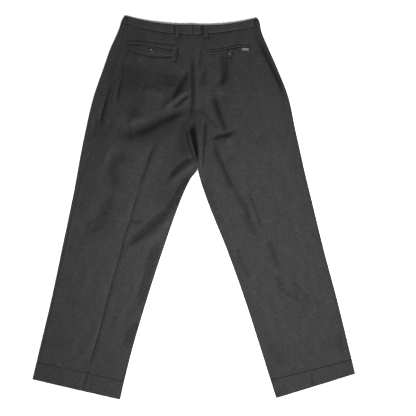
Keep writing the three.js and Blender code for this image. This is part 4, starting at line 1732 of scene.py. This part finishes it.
@dataclass
class FrontFastening:
    """Zip, fly shield and waist button, between the layers at the centre front."""

    waist_button: Button
    x: float = -5.0
    head: float = 1028.0
    length: float = 175.0
    zip_width: float = 26.0
    shield_width: float = 40.0
    base: float = 1.4
    pitch: float = 1.5
    tooth: tuple[float, float] = (2.6, 0.5)  # half length and radius of one turn of the coil
    tooth_lean: float = 0.18
    slider: tuple[float, float, float] = (8.5, 10.5, 1.2)

    def build(self, finishes: Finishes) -> None:
        """Builds the tape with its teeth and slider, the shield and the button.

        Args:
            finishes: the garment's materials.
        """
        self._tape(finishes)
        self._teeth(finishes)
        self._shield(finishes)
        self.waist_button.build(BAND.wall + 0.4, finishes)

    def _plate(self, left: np.ndarray, right: np.ndarray, ys: np.ndarray, level: float) -> np.ndarray:
        """A level grid between two borders."""
        xs = mix(left[:, None], right[:, None], np.linspace(0, 1, 9)[None, :])
        return np.stack([xs, np.broadcast_to(ys[:, None], xs.shape), np.full(xs.shape, level)], axis=-1)

    def _tape(self, finishes: Finishes) -> None:
        """The woven tape of the zip.

        Args:
            finishes: the garment's materials.
        """
        ys = np.linspace(self.head, self.head - self.length, 40)
        half = np.full(len(ys), self.zip_width / 2)
        grid = self._plate(self.x - half, self.x + half, ys, self.base + 0.6)
        cloth = SewnCloth("fly_zip_tape", grid, 0.5)
        finish_sheet(cloth, finishes.tape, "fly_zip")

    def _teeth(self, finishes: Finishes) -> None:
        """The coil's turns and the slider at the head, drawn closed.

        Args:
            finishes: the garment's materials.
        """
        work = bmesh.new()
        for at in np.arange(4.0, self.length - 6.0, self.pitch):
            lean = self.tooth_lean if round(at / self.pitch) % 2 else -self.tooth_lean
            place_grain(work, (self.x, self.head - at, self.base + 0.75), lean, *self.tooth)
        body = bmesh.ops.create_cube(work, size=1.0)["verts"]
        place = Matrix.Translation(Vector((self.x, self.head - 8 - MIDDLE_Y, self.base + 1.0)) * MM)
        size = Matrix.Diagonal((*(side * MM for side in self.slider), 1.0))
        bmesh.ops.transform(work, verts=body, matrix=place @ size)
        edges = list({edge for vert in body for edge in vert.link_edges})
        bmesh.ops.bevel(
            work, geom=edges, offset=0.5 * MM, segments=2, profile=0.5, affect="EDGES", material=-1,
            clamp_overlap=True,
        )
        made = object_from("fly_zip_coil_and_slider", work, finishes.tape)
        finish_piece(made, [])

    def _shield(self, finishes: Finishes) -> None:
        """The shield that lies behind the zip, rounded at its foot.

        Args:
            finishes: the garment's materials.
        """
        shares = np.linspace(0, 1, 44)
        ys = self.head - self.length * shares
        half = self.shield_width / 2
        left = self.x - half + half * 0.9 * smooth((shares - 0.8) / 0.2)
        right = np.full(len(ys), self.x + half)
        grid = self._plate(left, right, ys, self.base + 2.8)
        cloth = SewnCloth("fly_shield_cloth", grid, 1.1, edge=0.3)
        finish_sheet(cloth, finishes.wool, "fly_shield")


# ---- Stage ---------------------------------------------------------------------------------------


@dataclass
class Studio:
    """Pale floor, soft lights and the camera straight above; lengths are in metres."""

    view_width: float = 1.1856
    camera_height: float = 3.2
    sensor: float = 36.0
    centre: tuple[float, float] = (0.0399, -0.0012)
    aim: tuple[float, float, float] = (0.0, -0.05, 0.0)
    floor_drop: float = 0.0006
    sky: float = 0.3

    def build(self) -> None:
        """Makes the floor, the lights, the world and the camera."""
        self._floor()
        self._lights()
        self._camera()

    def _floor(self) -> None:
        """A large plain pale board just under the cloth."""
        mesh = bpy.data.meshes.new("floor")
        work = bmesh.new()
        bmesh.ops.create_grid(work, x_segments=1, y_segments=1, size=6.0)
        work.to_mesh(mesh)
        work.free()
        floor = bpy.data.objects.new("floor", mesh)
        floor.location.z = -self.floor_drop
        bpy.context.collection.objects.link(floor)
        material = bpy.data.materials.new("matt white board")
        material.use_nodes = True
        shader = material.node_tree.nodes["Principled BSDF"]
        shader.inputs["Base Color"].default_value = srgb("fcfcfc")
        shader.inputs["Roughness"].default_value = 0.95
        shader.inputs["Specular IOR Level"].default_value = 0.1
        floor.data.materials.append(material)

    def _area_light(
        self, name: str, place: tuple[float, float, float], size: float, power: float
    ) -> None:
        """Adds a square soft light aimed at the garment.

        Args:
            name: the light's name.
            place: where it hangs.
            size: the side of its square.
            power: its power in watts.
        """
        data = bpy.data.lights.new(name, "AREA")
        data.size = size
        data.energy = power
        light = bpy.data.objects.new(name, data)
        light.location = place
        light.rotation_mode = "QUATERNION"
        light.rotation_quaternion = (Vector(self.aim) - Vector(place)).to_track_quat("-Z", "Y")
        light.visible_camera = False
        bpy.context.collection.objects.link(light)

    def _lights(self) -> None:
        """A key light above the thighs, a raking one far beyond the right hem, and a weak sky."""
        self._area_light("key", (0.10, -0.26, 1.0), 0.35, 20.5)
        self._area_light("side", (3.3, -1.9, 1.7), 1.0, 200.0)
        world = bpy.data.worlds.new("studio")
        world.use_nodes = True
        sky = world.node_tree.nodes["Background"]
        sky.inputs["Color"].default_value = (1.0, 1.0, 1.0, 1.0)
        sky.inputs["Strength"].default_value = self.sky
        bpy.context.scene.world = world

    def _camera(self) -> None:
        """The camera looks straight down."""
        data = bpy.data.cameras.new("camera")
        data.sensor_width = self.sensor
        data.lens = self.sensor * self.camera_height / self.view_width
        camera = bpy.data.objects.new("camera", data)
        camera.location = (*self.centre, self.camera_height)
        bpy.context.collection.objects.link(camera)
        bpy.context.scene.camera = camera
        bpy.context.scene.view_settings.view_transform = "Standard"


# ---- The garment -----------------------------------------------------------------------------------


class Trousers:
    """The whole garment, sewn from its halves and its small pieces."""

    def __init__(self) -> None:
        """Prepares the finishes and the halves."""
        # painted light: a lighter copy of the wool for the waistband and the belt loops, which stand proud
        # and catch more light
        pressed = WorstedWool("worsted wool with painted light", dark="1c1b1c", light="363535", base="282727")
        self.finishes = Finishes(
            wool=WorstedWool().build(),
            pressed=pressed.build(),
            horn=PolishedHorn().build(),
            tab=WovenRib("blank woven tab", "454441", "5e5d5a", 0.5).build(),
            tape=WovenRib("zip tape", "0d0d0e", "232325", 0.8).build(),
            thread=SewingThread().build(),
        )
        self.halves = (
            HalfForm("left", LEFT_EDGES, LEFT_STATIONS),
            HalfForm("right", RIGHT_EDGES, RIGHT_STATIONS),
        )
        self.tops: dict[str, LaidTop] = {}

    def build(self) -> None:
        """Builds every piece in the order in which they lie."""
        for half in self.halves:
            self._half(half)
        for loop in BELT_LOOPS:
            self.tops[loop.side].add(loop.build(self.tops[loop.side], self.finishes))
        for side, top in self.tops.items():
            tacks = tuple(run for loop in BELT_LOOPS if loop.side == side for run in loop.tacks())
            Stitching(f"loop_{side}_tacks", tacks).build(top, self.finishes.thread)
        large = Button("pocket_left_button", (-121, 991.5))
        LeftBackPocket(large).build(self.tops["left"], self.finishes)
        small = Button("pocket_right_button", (101, 981), radius=5.2, thickness=2.2)
        RightBackPocket(small).build(self.tops["right"], self.finishes)
        for pleat in PLEATS:
            pleat.build(self.finishes)
        FrontFastening(Button("waist_button", (-18, 1052))).build(self.finishes)

    def _half(self, half: HalfForm) -> None:
        """Builds the four large pieces of one half.

        Args:
            half: the half's form.
        """
        side = half.side
        back = SewnCloth(f"back_{side}_cloth", half.back_panel(BACK_COLUMNS), PANEL.wall)
        front = SewnCloth(f"front_{side}_cloth", half.front_panel(FRONT_COLUMNS), PANEL.wall)
        band = SewnCloth(f"waistband_{side}_cloth", half.band(BAND_COLUMNS), BAND.wall)
        cuff = SewnCloth(f"cuff_{side}_cloth", half.cuff(CUFF_COLUMNS), CUFF.wall, ring=True)
        finish_sheet(front, self.finishes.wool, f"front_{side}")
        finish_sheet(back, self.finishes.wool, f"back_{side}")
        # the waistband takes the lighter wool, painted light
        finish_sheet(band, self.finishes.pressed, f"waistband_{side}")
        finish_sheet(cuff, self.finishes.wool, f"cuff_{side}")
        self.tops[side] = LaidTop([front, back, band])


def main() -> None:
    """Builds the trousers piece by piece and sets them in the studio."""
    logging.basicConfig(level=logging.INFO, format="%(name)s %(message)s")
    Trousers().build()
    Studio().build()


if __name__ == "__main__":
    main()
